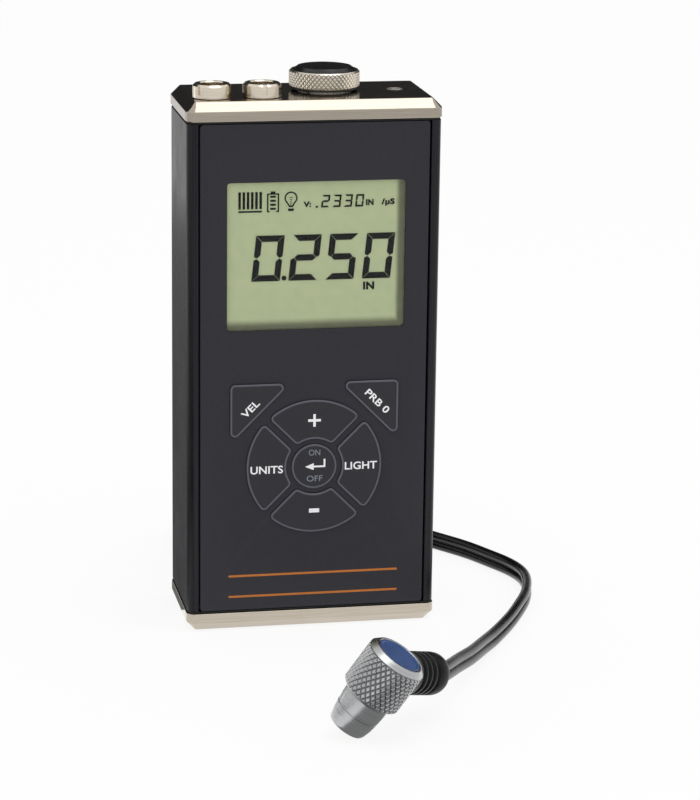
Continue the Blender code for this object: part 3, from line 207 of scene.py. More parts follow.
@dataclass(frozen=True)
class Finish:
    """A surface: its colours, gloss, marks and the record's slot that it stands for."""

    name: str
    slot: str
    colour: Colour
    shade: Colour
    metallic: float = 0.0
    gloss: tuple[float, float] = (0.38, 0.5)
    grain: Grain = Grain.MOULDED
    relief: float = 0.000004
    specular: float = 0.5
    coat: float = 0.0
    smudge: float = 0.25
    about: tuple[float, ...] = ()

    def turned_on(self, stand: Matrix) -> "Finish":
        """The same finish with its marks laid round a stand's own Z axis.

        Args:
            stand: The place of the piece's axis.

        Returns:
            The finish for that place.
        """
        return replace(self, about=(*stand.to_translation(), *stand.to_euler()))

    def make(self) -> bpy.types.Material:
        """The finish as a material, made on its first use.

        Returns:
            The material.
        """
        tag = "_" + "_".join(f"{round(value * 1e4)}" for value in self.about) if self.about else ""
        name = ("finish_" + self.name + tag).replace("-", "m")[:60]
        known = bpy.data.materials.get(name)
        if known:
            return known
        recipe = Recipe(name)
        where = recipe.add("TexCoord").outputs["Object"]
        if self.about:
            stand = {"Vector": where, "Location": self.about[:3], "Rotation": self.about[3:]}
            where = recipe.add("Mapping", stand, vector_type="TEXTURE").outputs["Vector"]
        fine = self.marks(recipe, where)
        broad = recipe.add("TexNoise", {"Vector": where, **BROAD_PATCHES}).outputs["Fac"]
        plain = recipe.ramp(fine, self.shade, self.colour, *FINE_RANGE)
        dulled = tuple(0.82 * a + 0.18 * b for a, b in zip(self.colour, self.shade))
        patch = recipe.ramp(broad, dulled, self.colour, *BROAD_RANGE)
        both = recipe.add("Math", {0: fine, 1: broad}, operation="ADD").outputs[0]
        bump = recipe.add("Bump", {"Strength": 1.0, "Distance": self.relief, "Height": fine})
        recipe.set({
            "Base Color": recipe.mix(recipe.spread(broad, 0.0, self.smudge), plain, patch),
            "Metallic": self.metallic,
            "Roughness": recipe.spread(both, *self.gloss, *BOTH_RANGE),
            "Normal": bump.outputs["Normal"],
            "Specular IOR Level": self.specular,
            "Coat Weight": self.coat,
            "Coat Roughness": COAT_ROUGHNESS,
        })
        return recipe.material

    def marks(self, recipe: Recipe, where: Socket) -> Socket:
        """The fine marks as a value from 0 to 1.

        Args:
            recipe: The material under way.
            where: The coordinates that the marks follow.

        Returns:
            The value's socket.
        """
        scaled = recipe.add("Mapping", {"Vector": where, "Scale": self.grain.value})
        return recipe.add("TexNoise", {"Vector": scaled.outputs["Vector"], **FINE_MARKS}).outputs["Fac"]


ANODISED = Finish(
    "black_anodised", "black_anodised", seen(38, 38, 42), seen(12, 12, 14),
    gloss=(0.22, 0.36), grain=Grain.DRAWN_ALONG_Z, specular=0.12,
)
NICKEL = Finish(
    "satin_nickel", "satin_nickel", (0.42, 0.374, 0.312), (0.34, 0.302, 0.248),
    metallic=1.0, gloss=(0.1, 0.2), grain=Grain.BRUSHED_ALONG_X, relief=0.0000008,
)
KNOB_NICKEL = Finish(
    "knob_nickel", "satin_nickel", (0.74, 0.69, 0.61), (0.58, 0.54, 0.47),
    metallic=1.0, gloss=(0.22, 0.34), grain=Grain.BLASTED, relief=0.000003,
)
# Dark metal for the cap's knurl grooves: painted shade between the diamonds.
KNURL_GROOVE_SHADE = Finish(
    "knurl_valley", "satin_nickel", (0.09, 0.078, 0.065), (0.05, 0.043, 0.036),
    metallic=1.0, gloss=(0.35, 0.5), grain=Grain.BLASTED, relief=0.000003,
)
SOCKET_NICKEL = Finish(
    "socket_nickel", "satin_nickel", (0.74, 0.67, 0.56), (0.64, 0.575, 0.475),
    metallic=1.0, gloss=(0.14, 0.22), grain=Grain.TURNED, relief=0.0000015,
)
STEEL = Finish(
    "probe_steel", "probe_steel", (0.44, 0.445, 0.45), (0.35, 0.355, 0.36),
    metallic=1.0, gloss=(0.22, 0.34), grain=Grain.TURNED, relief=0.0000018,
)
# Dark steel for the probe's knurl grooves: painted shade between the diamonds.
PROBE_KNURL_GROOVE_SHADE = Finish(
    "probe_knurl_valley", "probe_steel", (0.10, 0.10, 0.102), (0.055, 0.055, 0.057),
    metallic=1.0, gloss=(0.35, 0.5), grain=Grain.BLASTED, relief=0.000003,
)
SCREW_STEEL = Finish(
    "screw_steel", "probe_steel", (0.66, 0.64, 0.60), (0.45, 0.43, 0.40),
    metallic=1.0, gloss=(0.22, 0.36),
)
FILM = Finish(
    "overlay_film", "overlay_film", seen(42, 41, 47), seen(36, 35, 41),
    gloss=(0.42, 0.52), grain=Grain.PEBBLED, relief=0.000006, specular=0.24,
)
KEY_FILM = Finish(
    "key_film", "key_film", seen(44, 44, 49), seen(38, 38, 43),
    gloss=(0.4, 0.5), grain=Grain.PEBBLED, relief=0.000006, specular=0.24,
)
KEY_LINE = Finish(
    "key_line", "key_film", seen(82, 82, 92), seen(74, 74, 84),
    gloss=(0.38, 0.5), grain=Grain.PEBBLED, relief=0.000005,
)
WHITE_PRINT = Finish(
    "white_print", "key_film", seen(246, 246, 248), seen(236, 237, 240),
    gloss=(0.45, 0.6), grain=Grain.PEBBLED,
)
GREY_PRINT = Finish(
    "grey_print", "key_film", seen(132, 137, 146), seen(118, 123, 132),
    gloss=(0.45, 0.6), grain=Grain.PEBBLED,
)
ORANGE_PRINT = Finish(
    "orange_print", "overlay_film", seen(190, 108, 30), seen(170, 96, 24),
    gloss=(0.45, 0.6), grain=Grain.PEBBLED,
)
DISPLAY_INK = Finish(
    "display_ink", "display_glass", seen(3, 3, 3), seen(5, 5, 5),
    gloss=(0.45, 0.6), grain=Grain.PEBBLED, relief=0.000002, specular=0.05,
)
GASKET = Finish(
    "gasket_rubber", "gasket_rubber", seen(26, 26, 27), seen(18, 18, 19),
    gloss=(0.6, 0.8), relief=0.00001, specular=0.3,
)
SEAL = Finish(
    "seal_rubber", "gasket_rubber", seen(24, 24, 25), seen(16, 16, 17),
    gloss=(0.35, 0.5), relief=0.000008,
)
BLACK_CAP = Finish(
    "black_cap_disc", "dark_disc", seen(20, 19, 20), seen(13, 13, 14),
    gloss=(0.22, 0.32), grain=Grain.BLASTED, relief=0.000002, specular=0.45,
)
INSULATOR = Finish(
    "socket_insulator", "socket_insulator", seen(46, 42, 38), seen(34, 31, 28),
    gloss=(0.4, 0.55), relief=0.000008,
)
BLUE = Finish(
    "blue_disc", "blue_disc", seen(40, 77, 134), seen(31, 62, 114),
    gloss=(0.3, 0.42), grain=Grain.TURNED, coat=0.15,
)
DELAY = Finish(
    "delay_line", "delay_line", seen(196, 184, 158), seen(176, 163, 136),
    gloss=(0.3, 0.45), relief=0.000006,
)
CORK = Finish(
    "barrier_cork", "barrier_cork", seen(150, 112, 72), seen(96, 66, 40),
    gloss=(0.75, 0.9), relief=0.00006,
)
BOOT = Finish(
    "boot_rubber", "boot_rubber", seen(15, 16, 18), seen(9, 10, 11),
    gloss=(0.32, 0.46), grain=Grain.PEBBLED, relief=0.000012, specular=0.12,
)
JACKET = Finish(
    "lead_jacket", "lead_jacket", seen(8, 9, 12), seen(4, 5, 7),
    gloss=(0.22, 0.34), grain=Grain.PEBBLED, relief=0.000005, specular=0.3,
)
STRAP = Finish(
    "tie_strap", "gasket_rubber", seen(34, 34, 36), seen(22, 22, 24),
    gloss=(0.55, 0.7), grain=Grain.PEBBLED, relief=0.00003, specular=0.35,
)
MEMBRANE = Finish(
    "membrane_circuit", "membrane_circuit", seen(40, 41, 46), seen(30, 31, 36),
    gloss=(0.5, 0.65), grain=Grain.PEBBLED, relief=0.00001,
)
BACKLIGHT = Finish(
    "backlight_frame", "backlight_frame", seen(214, 216, 210), seen(196, 198, 190),
    gloss=(0.4, 0.55), relief=0.00001,
)
BOARD = Finish(
    "circuit_board", "circuit_board", seen(24, 96, 58), seen(14, 66, 38),
    gloss=(0.3, 0.5), relief=0.00002, coat=0.3,
)
BLACK_PLASTIC = Finish(
    "black_plastic", "black_plastic", seen(30, 30, 31), seen(22, 22, 23),
    gloss=(0.4, 0.55), relief=0.00001,
)
CELL_JACKET = Finish(
    "cell_jacket", "cell_jacket", seen(58, 66, 78), seen(44, 50, 60),
    metallic=0.3, gloss=(0.28, 0.4), grain=Grain.DRAWN_ALONG_Z, relief=0.000003,
)
SPRING = Finish(
    "spring_steel", "spring_steel", (0.60, 0.60, 0.60), (0.45, 0.45, 0.46),
    metallic=1.0, gloss=(0.25, 0.4), grain=Grain.BLASTED, relief=0.000003,
)


def arc(centre: tuple[float, float], radius: float, start: float, end: float, steps: int) -> Outline:
    """Points of an arc, ends included.

    Args:
        centre: The arc's centre.
        radius: Its radius.
        start: The angle it starts at.
        end: The angle it ends at.
        steps: How many straight steps it has.

    Returns:
        The points in order.
    """
    turns = [start + (end - start) * i / steps for i in range(steps + 1)]
    return [(centre[0] + radius * math.cos(t), centre[1] + radius * math.sin(t)) for t in turns]


def rounded_box(
    width: float, height: float, radius: float,
    middle: tuple[float, float] = (0.0, 0.0), steps: int = 6,
) -> Outline:
    """A rectangle with rounded corners, anticlockwise.

    Args:
        width: Its width.
        height: Its height.
        radius: Its corners' radius.
        middle: Its middle.
        steps: Straight steps in each corner.

    Returns:
        The outline's points.
    """
    points: Outline = []
    for quarter, (sx, sy) in enumerate(((1, 1), (-1, 1), (-1, -1), (1, -1))):
        corner = (middle[0] + sx * (width / 2 - radius), middle[1] + sy * (height / 2 - radius))
        points += arc(corner, radius, quarter * math.pi / 2, (quarter + 1) * math.pi / 2, steps)
    return points


def filleted(outline: Outline, radius: float, steps: int = 6) -> Outline:
    """Rounds an outline's sharp corners.

    Args:
        outline: The outline, anticlockwise.
        radius: The corners' new radius.
        steps: Straight steps in each corner.

    Returns:
        The outline's points.
    """
    points: Outline = []
    count = len(outline)
    for i in range(count):
        before, here, after = (Vector(outline[(i + k) % count]) for k in (-1, 0, 1))
        back, ahead = (before - here).normalized(), (after - here).normalized()
        opening = back.angle(ahead)
        if opening > math.radians(150):
            points.append(tuple(here))
            continue
        reach = radius / math.tan(opening / 2)
        centre = here + (back + ahead).normalized() * radius / math.sin(opening / 2)
        first, last = here + back * reach - centre, here + ahead * reach - centre
        turn = first.angle_signed(last)
        points += [tuple(centre + Matrix.Rotation(-turn * k / steps, 2) @ first) for k in range(steps + 1)]
    return points


def smooth_route(points: Sequence[Point], steps: int = 4) -> list[Vector]:
    """A smooth curve through every point of a route.

    Args:
        points: The route's points.
        steps: Points for each stretch between two of them.

    Returns:
        The curve's points.
    """
    route = [Vector(point) for point in points]
    ends = [2 * route[0] - route[1], *route, 2 * route[-1] - route[-2]]
    made = []
    for before, here, there, after in zip(ends, ends[1:], ends[2:], ends[3:]):
        for i in range(steps):
            t = i / steps
            pull = (there - before) * t + (2 * before - 5 * here + 4 * there - after) * t**2
            made.append(here + (pull + (3 * here - before - 3 * there + after) * t**3) / 2)
    return [*made, route[-1]]


def placed(name: str, data: bpy.types.ID) -> bpy.types.Object:
    """A new object in the scene.

    Args:
        name: Its name.
        data: Its mesh, curve, lamp or camera.

    Returns:
        The object.
    """
    obj = bpy.data.objects.new(name, data)
    bpy.context.scene.collection.objects.link(obj)
    return obj


def add_line(curve: bpy.types.Curve, points: Sequence[Sequence[float]], closed: bool) -> None:
    """Adds a line of straight stretches to a curve.

    Args:
        curve: The curve.
        points: The line's points, flat or in space.
        closed: Whether its last point joins its first.
    """
    spline = curve.splines.new("POLY")
    spline.points.add(len(points) - 1)
    for point, at in zip(spline.points, points):
        point.co = (*Vector(at).to_3d(), 1)
    spline.use_cyclic_u = closed


def evaluated_mesh(data: bpy.types.Curve) -> bpy.types.Mesh:
    """Turns a curve or text into a mesh.

    Args:
        data: The curve or text, which is removed.

    Returns:
        Its mesh.
    """
    holder = placed("pattern", data)
    bpy.context.view_layer.update()
    graph = bpy.context.evaluated_depsgraph_get()
    mesh = bpy.data.meshes.new_from_object(holder.evaluated_get(graph))
    bpy.data.objects.remove(holder)
    bpy.data.curves.remove(data)
    return mesh


class Bench:
    """A mesh under way: it starts from an operator, is shaped by others and becomes a piece."""

    def __init__(self) -> None:
        """Starts with nothing on the bench."""
        self.shape = bmesh.new()

    @classmethod
    def turned(cls, profile: Outline, steps: int = 96, ring: bool = False) -> "Bench":
        """A solid of revolution about Z.

        Args:
            profile: (radius, height) points down the outer side.
            steps: How many steps a full turn has.
            ring: Whether the last point joins the first.

        Returns:
            The bench with the solid on it.
        """
        made = cls()
        verts = [made.shape.verts.new((radius, 0, height)) for radius, height in profile]
        edges = [made.shape.edges.new(pair) for pair in zip(verts, verts[1:])]
        if ring:
            edges.append(made.shape.edges.new((verts[-1], verts[0])))
        bmesh.ops.spin(
            made.shape, geom=verts + edges, cent=(0, 0, 0), axis=(0, 0, 1),
            angle=FULL_TURN, steps=steps, use_merge=True, use_duplicate=False,
        )
        made.clean()
        return made

    @classmethod
    def sheet(cls, outline: Outline) -> "Bench":
        """A flat face that looks up +Z.

        Args:
            outline: Its edge, anticlockwise.

        Returns:
            The bench with the face on it.
        """
        made = cls()
        face = made.shape.faces.new([made.shape.verts.new((x, y, 0)) for x, y in outline])
        face.normal_update()
        if face.normal.z < 0:
            face.normal_flip()
        return made

    @classmethod
    def copy_of(cls, node: str) -> "Bench":
        """A CAD node's shape again, with its loose triangles merged.

        Args:
            node: The node's name.

        Returns:
            The bench with the copy on it.
        """
        made = cls()
        made.shape.from_mesh(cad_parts[node].data)
        bmesh.ops.remove_doubles(made.shape, verts=made.shape.verts, dist=NEAR)
        bmesh.ops.dissolve_limit(
            made.shape, angle_limit=math.radians(1), verts=made.shape.verts, edges=made.shape.edges
        )
        return made

    @classmethod
    def of_mesh(cls, mesh: bpy.types.Mesh, weld: bool = True) -> "Bench":
        """A mesh back on a bench.

        Args:
            mesh: The mesh, which is removed.
            weld: Whether its doubles are merged.

        Returns:
            The bench with its shape on it.
        """
        made = cls()
        made.shape.from_mesh(mesh)
        bpy.data.meshes.remove(mesh)
        if weld:
            bmesh.ops.remove_doubles(made.shape, verts=made.shape.verts, dist=SAME_PLACE)
        return made

    def clean(self) -> None:
        """Merges doubles, drops empty faces and turns every face outwards."""
        bmesh.ops.remove_doubles(self.shape, verts=self.shape.verts, dist=SAME_PLACE)
        bmesh.ops.dissolve_degenerate(self.shape, dist=SAME_PLACE, edges=self.shape.edges)
        bmesh.ops.recalc_face_normals(self.shape, faces=self.shape.faces)

    def grown(
        self, faces: list[bmesh.types.BMFace]
    ) -> tuple[list[bmesh.types.BMVert], list[bmesh.types.BMFace]]:
        """Extrudes faces, without moving them yet.

        Args:
            faces: The faces.

        Returns:
            The new vertices and the new faces on them.
        """
        made = bmesh.ops.extrude_face_region(self.shape, geom=faces)["geom"]
        verts = [item for item in made if isinstance(item, bmesh.types.BMVert)]
        return verts, [item for item in made if isinstance(item, bmesh.types.BMFace)]

    def raised(self, height: float) -> None:
        """Makes a solid of a flat sheet.

        Args:
            height: How far its face moves up +Z.
        """
        moved, _ = self.grown(list(self.shape.faces))
        bmesh.ops.translate(self.shape, verts=moved, vec=(0, 0, height))
        bmesh.ops.recalc_face_normals(self.shape, faces=self.shape.faces)

    def hollowed(self, width: float) -> None:
        """Leaves only a rim of a flat sheet.

        Args:
            width: How wide the rim is.
        """
        rim = bmesh.ops.inset_region(
            self.shape, faces=list(self.shape.faces), thickness=width, depth=0.0,
            use_even_offset=True, use_boundary=True,
        )["faces"]
        inside = [face for face in self.shape.faces if face not in set(rim)]
        bmesh.ops.delete(self.shape, geom=inside, context="FACES")

    def add(self, mesh: bpy.types.Mesh, at: Matrix, height: float) -> None:
        """Adds a flat mesh as a thin solid.

        Args:
            mesh: The flat mesh, which is removed.
            at: Its place on this bench.
            height: Its thickness.
        """
        other = Bench.of_mesh(mesh)
        other.raised(height)
        self.add_bench(other, at)

    def add_bench(self, other: "Bench", at: Matrix | None = None) -> None:
        """Adds what is on another bench.

        Args:
            other: The other bench, which is cleared away.
            at: Its place on this one.
        """
        mesh = bpy.data.meshes.new("added")
        if at:
            other.shape.transform(at)
        other.shape.to_mesh(mesh)
        other.shape.free()
        self.shape.from_mesh(mesh)
        bpy.data.meshes.remove(mesh)

    def piece(
        self,
        name: str,
        body: str,
        finishes: Sequence[Finish],
        at: Matrix | None = None,
        stands_for: Iterable[str] = (),
        smooth: float = 32.0,
        soften: float = 0.0,
    ) -> bpy.types.Object:
        """Takes the mesh off the bench as a piece of the object.

        Args:
            name: The piece's name.
            body: The CAD body that it rides on.
            finishes: Its finishes, by face material number.
            at: Its place, which goes into the mesh.
            stands_for: The CAD nodes that it replaces.
            smooth: The angle in degrees under which edges are shaded smooth.
            soften: The width of a small bevel on its sharp edges.

        Returns:
            The piece.
        """
        if at:
            self.shape.transform(at)
        mesh = bpy.data.meshes.new(name)
        self.shape.to_mesh(mesh)
        self.shape.free()
        last = len(finishes) - 1
        numbers = [min(face.material_index, last) for face in mesh.polygons]
        mesh.materials.clear()
        for finish in finishes:
            mesh.materials.append(finish.make())
        mesh.polygons.foreach_set("material_index", numbers)
        mesh.shade_smooth()
        mesh.set_sharp_from_angle(angle=math.radians(smooth))
        obj = placed(name, mesh)
        if soften:
            bevel = obj.modifiers.new("soft_edges", "BEVEL")
            bevel.width = soften
            bevel.segments = 2
            bevel.limit_method = "ANGLE"
            bevel.angle_limit = math.radians(smooth)
            bevel.use_clamp_overlap = False
            weighted = obj.modifiers.new("even_shading", "WEIGHTED_NORMAL")
            weighted.keep_sharp = True
        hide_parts(*stands_for)
        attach(obj, body)
        LOG.info("%s rides on %s", name, body)
        return obj


def dressed(node: str, finish: Finish) -> None:
    """Gives a CAD node its finish.

    Args:
        node: The node's name.
        finish: The finish.
    """
    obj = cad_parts[node]
    material = finish.make()
    for place in obj.material_slots:
        place.material = material
    if not obj.material_slots:
        obj.data.materials.append(material)
    LOG.info("%s keeps its shape", node)


def lettering(text: str, length: float, height: float, embolden: float = 0.0) -> bpy.types.Mesh:
    """Flat lettering in the XY plane, its middle at the origin.

    Args:
        text: What it says.
        length: Its whole length.
        height: Its whole height.
        embolden: How much thicker its strokes are, as a share of its size.

    Returns:
        The mesh.
    """
    words = bpy.data.curves.new("lettering", "FONT")
    words.body = text
    words.offset = embolden
    words.resolution_u = 5
    words.space_character = 1.0 + embolden
    mesh = evaluated_mesh(words)
    xs = [vert.co.x for vert in mesh.vertices]
    ys = [vert.co.y for vert in mesh.vertices]
    wide, high = max(xs) - min(xs), max(ys) - min(ys)
    middle = Matrix.Translation((-(max(xs) + min(xs)) / 2, -(max(ys) + min(ys)) / 2, 0))
    mesh.transform(Matrix.Diagonal((length / wide, height / high, 1, 1)) @ middle)
    return mesh


def on_front(x: float, y: float, z: float, turn: float = 0.0) -> Matrix:
    """A place on the front, with local Z towards -Y.

    Args:
        x: Its x.
        y: The local ground's y.
        z: Its z.
        turn: How far it is turned anticlockwise, in degrees.

    Returns:
        The place.
    """
    return Matrix.Translation((x, y, z)) @ TO_FRONT @ Matrix.Rotation(math.radians(turn), 4, "Z")


def sight(tree: bpy.types.NodeTree) -> Socket:
    """1 where the camera looks, or sees by way of metal or glass, and 0 for every other ray.

    Args:
        tree: The nodes of a material or of the world.

    Returns:
        The value's socket.
    """
    rays = tree.nodes.new("ShaderNodeLightPath")
    either = rays.outputs["Is Camera Ray"]
    for kind in ("Is Glossy Ray", "Is Transmission Ray"):
        larger = tree.nodes.new("ShaderNodeMath")
        larger.operation = "MAXIMUM"
        tree.links.new(either, larger.inputs[0])
        tree.links.new(rays.outputs[kind], larger.inputs[1])
        either = larger.outputs[0]
    return either


@dataclass(frozen=True)
class Card:
    """A glowing grey card that only shiny faces see, flat on the floor or upright: a painted reflection, not
    a lamp.
    """

    name: str
    at: Point
    size: tuple[float, float]
    shade: float
    upright: bool = False


@dataclass(frozen=True)
class Lamp:
    """A rectangular soft lamp: its place, where it points, its size and its watts."""

    name: str
    at: Point
    aim: Point
    size: tuple[float, float]
    watts: float


@dataclass
class Studio:
    """The camera, the floor, the lamps and the world, as in the photograph."""

    eye: Point = (-0.132744, -0.739112, 0.253778)
    right: Point = (0.98183, -0.18937, 0.01210)
    up: Point = (0.03688, 0.25299, 0.96677)
    forward: Point = (0.18614, 0.94875, -0.25538)
    lens: float = 137.75
    sensor: float = 36.0
    nearest: float = 0.01
    world_colour: Colour = (0.82, 0.82, 0.82)
    floor_colour: Colour = (0.94, 0.94, 0.94)
    floor_reach: float = 8.0
    floor_lift: float = 0.88
    pool_middle: Point = (0.02, -0.03, 0.0)
    pool_reach: float = 0.55
    pool_light: tuple[float, float] = (1.45, 0.85)
    # Painted reflections: glowing sheets that only shiny faces see, dark ones behind and to the left, grey
    # ones behind and beside the probe.
    cards: tuple[Card, ...] = (
        Card("painted_reflection_backdrop", (0.05, 0.55, 0.47), (1.8, 0.7), 0.03, True),
        Card("painted_reflection_left", (-0.37, -0.07, 0.0006), (0.52, 0.2), 0.02),
        Card("grey_card_behind", (-0.10, 0.26, 0.0008), (0.14, 0.52), 0.2),
        Card("grey_card_by_probe", (0.006, -0.108, 0.0007), (0.038, 0.036), 0.36),
    )
    lamps: tuple[Lamp, ...] = (
        Lamp("overhead", (0.18, -0.30, 1.15), (0, 0, 0.06), (0.8, 0.6), 3.2),
        Lamp("left_strip", (-0.42, 0.34, 0.1), (0, 0, 0.07), (0.05, 0.5), 0.12),
    )

    def place_camera(self) -> None:
        """Puts the camera where the photograph was taken from."""
        data = bpy.data.cameras.new("camera")
        data.lens = self.lens
        data.sensor_width = self.sensor
        data.clip_start = self.nearest
        camera = placed("camera", data)
        columns = [Vector(self.right), Vector(self.up), -Vector(self.forward)]
        turn = Matrix(columns).transposed().to_4x4()
        camera.matrix_world = Matrix.Translation(self.eye) @ turn
        bpy.context.scene.camera = camera
        LOG.info("camera at the photograph's place")

    def light_world(self) -> None:
        """Even soft light from all round, with a white backdrop for the camera, metal and glass."""
        world = bpy.data.worlds.new("studio")
        bpy.context.scene.world = world
        world.use_nodes = True
        nodes, links = world.node_tree.nodes, world.node_tree.links
        soft = nodes["Background"]
        soft.inputs["Color"].default_value = (*self.world_colour, 1)
        white = nodes.new("ShaderNodeBackground")
        white.inputs["Color"].default_value = WHITE
        mixed = nodes.new("ShaderNodeMixShader")
        links.new(sight(world.node_tree), mixed.inputs[0])
        links.new(soft.outputs[0], mixed.inputs[1])
        links.new(white.outputs[0], mixed.inputs[2])
        links.new(mixed.outputs[0], nodes["World Output"].inputs["Surface"])

    def lay_floor(self) -> None:
        """A pale floor that keeps a faint shadow, and shows shiny faces a pool of light."""
        shape = bmesh.new()
        bmesh.ops.create_circle(shape, cap_ends=True, segments=64, radius=self.floor_reach)
        floor = self.stand("floor", shape)
        recipe = Recipe("floor")
        recipe.set({"Base Color": (*self.floor_colour, 1), "Roughness": 0.9, "Specular IOR Level": 0.1})
        looked_at = sight(recipe.material.node_tree)
        share = recipe.add("Math", {0: looked_at, 1: self.floor_lift}, operation="MULTIPLY")
        place = recipe.add("TexCoord").outputs["Object"]
        away = recipe.add("VectorMath", {0: place, 1: self.pool_middle}, operation="DISTANCE")
        pool = recipe.spread(away.outputs["Value"], *self.pool_light, 0.0, self.pool_reach)
        direct = recipe.add("LightPath").outputs["Is Camera Ray"]
        level = recipe.add("Mix", {0: direct, 2: pool, 3: 1.0}, data_type="FLOAT").outputs[0]
        glow = recipe.add("Emission", {"Color": WHITE, "Strength": level}).outputs[0]
        plain = recipe.shader.outputs[0]
        recipe.cover(recipe.add("MixShader", {0: share.outputs[0], 1: plain, 2: glow}))
        floor.data.materials.append(recipe.material)

    def stand(self, name: str, shape: bmesh.types.BMesh) -> bpy.types.Object:
        """Puts a piece of the studio up.

        Args:
            name: Its name.
            shape: Its shape, which is used up.

        Returns:
            The object.
        """
        mesh = bpy.data.meshes.new(name)
        shape.to_mesh(mesh)
        shape.free()
        obj = placed(name, mesh)
        return obj

    def set_card(self, card: Card) -> None:
        """Puts up one card, a glowing sheet that only shiny faces see: a painted reflection.

        Args:
            card: The card.
        """
        shape = bmesh.new()
        bmesh.ops.create_grid(shape, x_segments=1, y_segments=1, size=0.5)
        bmesh.ops.scale(shape, vec=(*card.size, 1), verts=shape.verts)
        at = Matrix.Translation(card.at)
        shape.transform(at @ TO_FRONT if card.upright else at)
        obj = self.stand(card.name, shape)
        recipe = Recipe(card.name)
        grey = (card.shade, card.shade, card.shade, 1)
        # Painted reflection: the card glows its grey, and only shiny faces see it.
        recipe.cover(recipe.add("Emission", {"Color": grey, "Strength": 1.0}))
        obj.data.materials.append(recipe.material)
        obj.visible_camera = obj.visible_diffuse = False
        obj.visible_shadow = obj.visible_transmission = False

    def hang_lamp(self, lamp: Lamp) -> None:
        """Hangs one lamp.

        Args:
            lamp: The lamp.
        """
        data = bpy.data.lights.new(lamp.name, "AREA")
        data.shape = "RECTANGLE"
        data.size, data.size_y = lamp.size
        data.energy = lamp.watts
        obj = placed(lamp.name, data)
        obj.location = lamp.at
        obj.rotation_euler = (Vector(lamp.aim) - Vector(lamp.at)).to_track_quat("-Z", "Y").to_euler()
        obj.visible_camera = False

    def build(self) -> None:
        """Sets the whole studio up."""
        bpy.context.scene.view_settings.view_transform = "Standard"
        self.place_camera()
        self.light_world()
        self.lay_floor()
        for card in self.cards:
            self.set_card(card)
        for lamp in self.lamps:
            self.hang_lamp(lamp)
        LOG.info("studio lit")


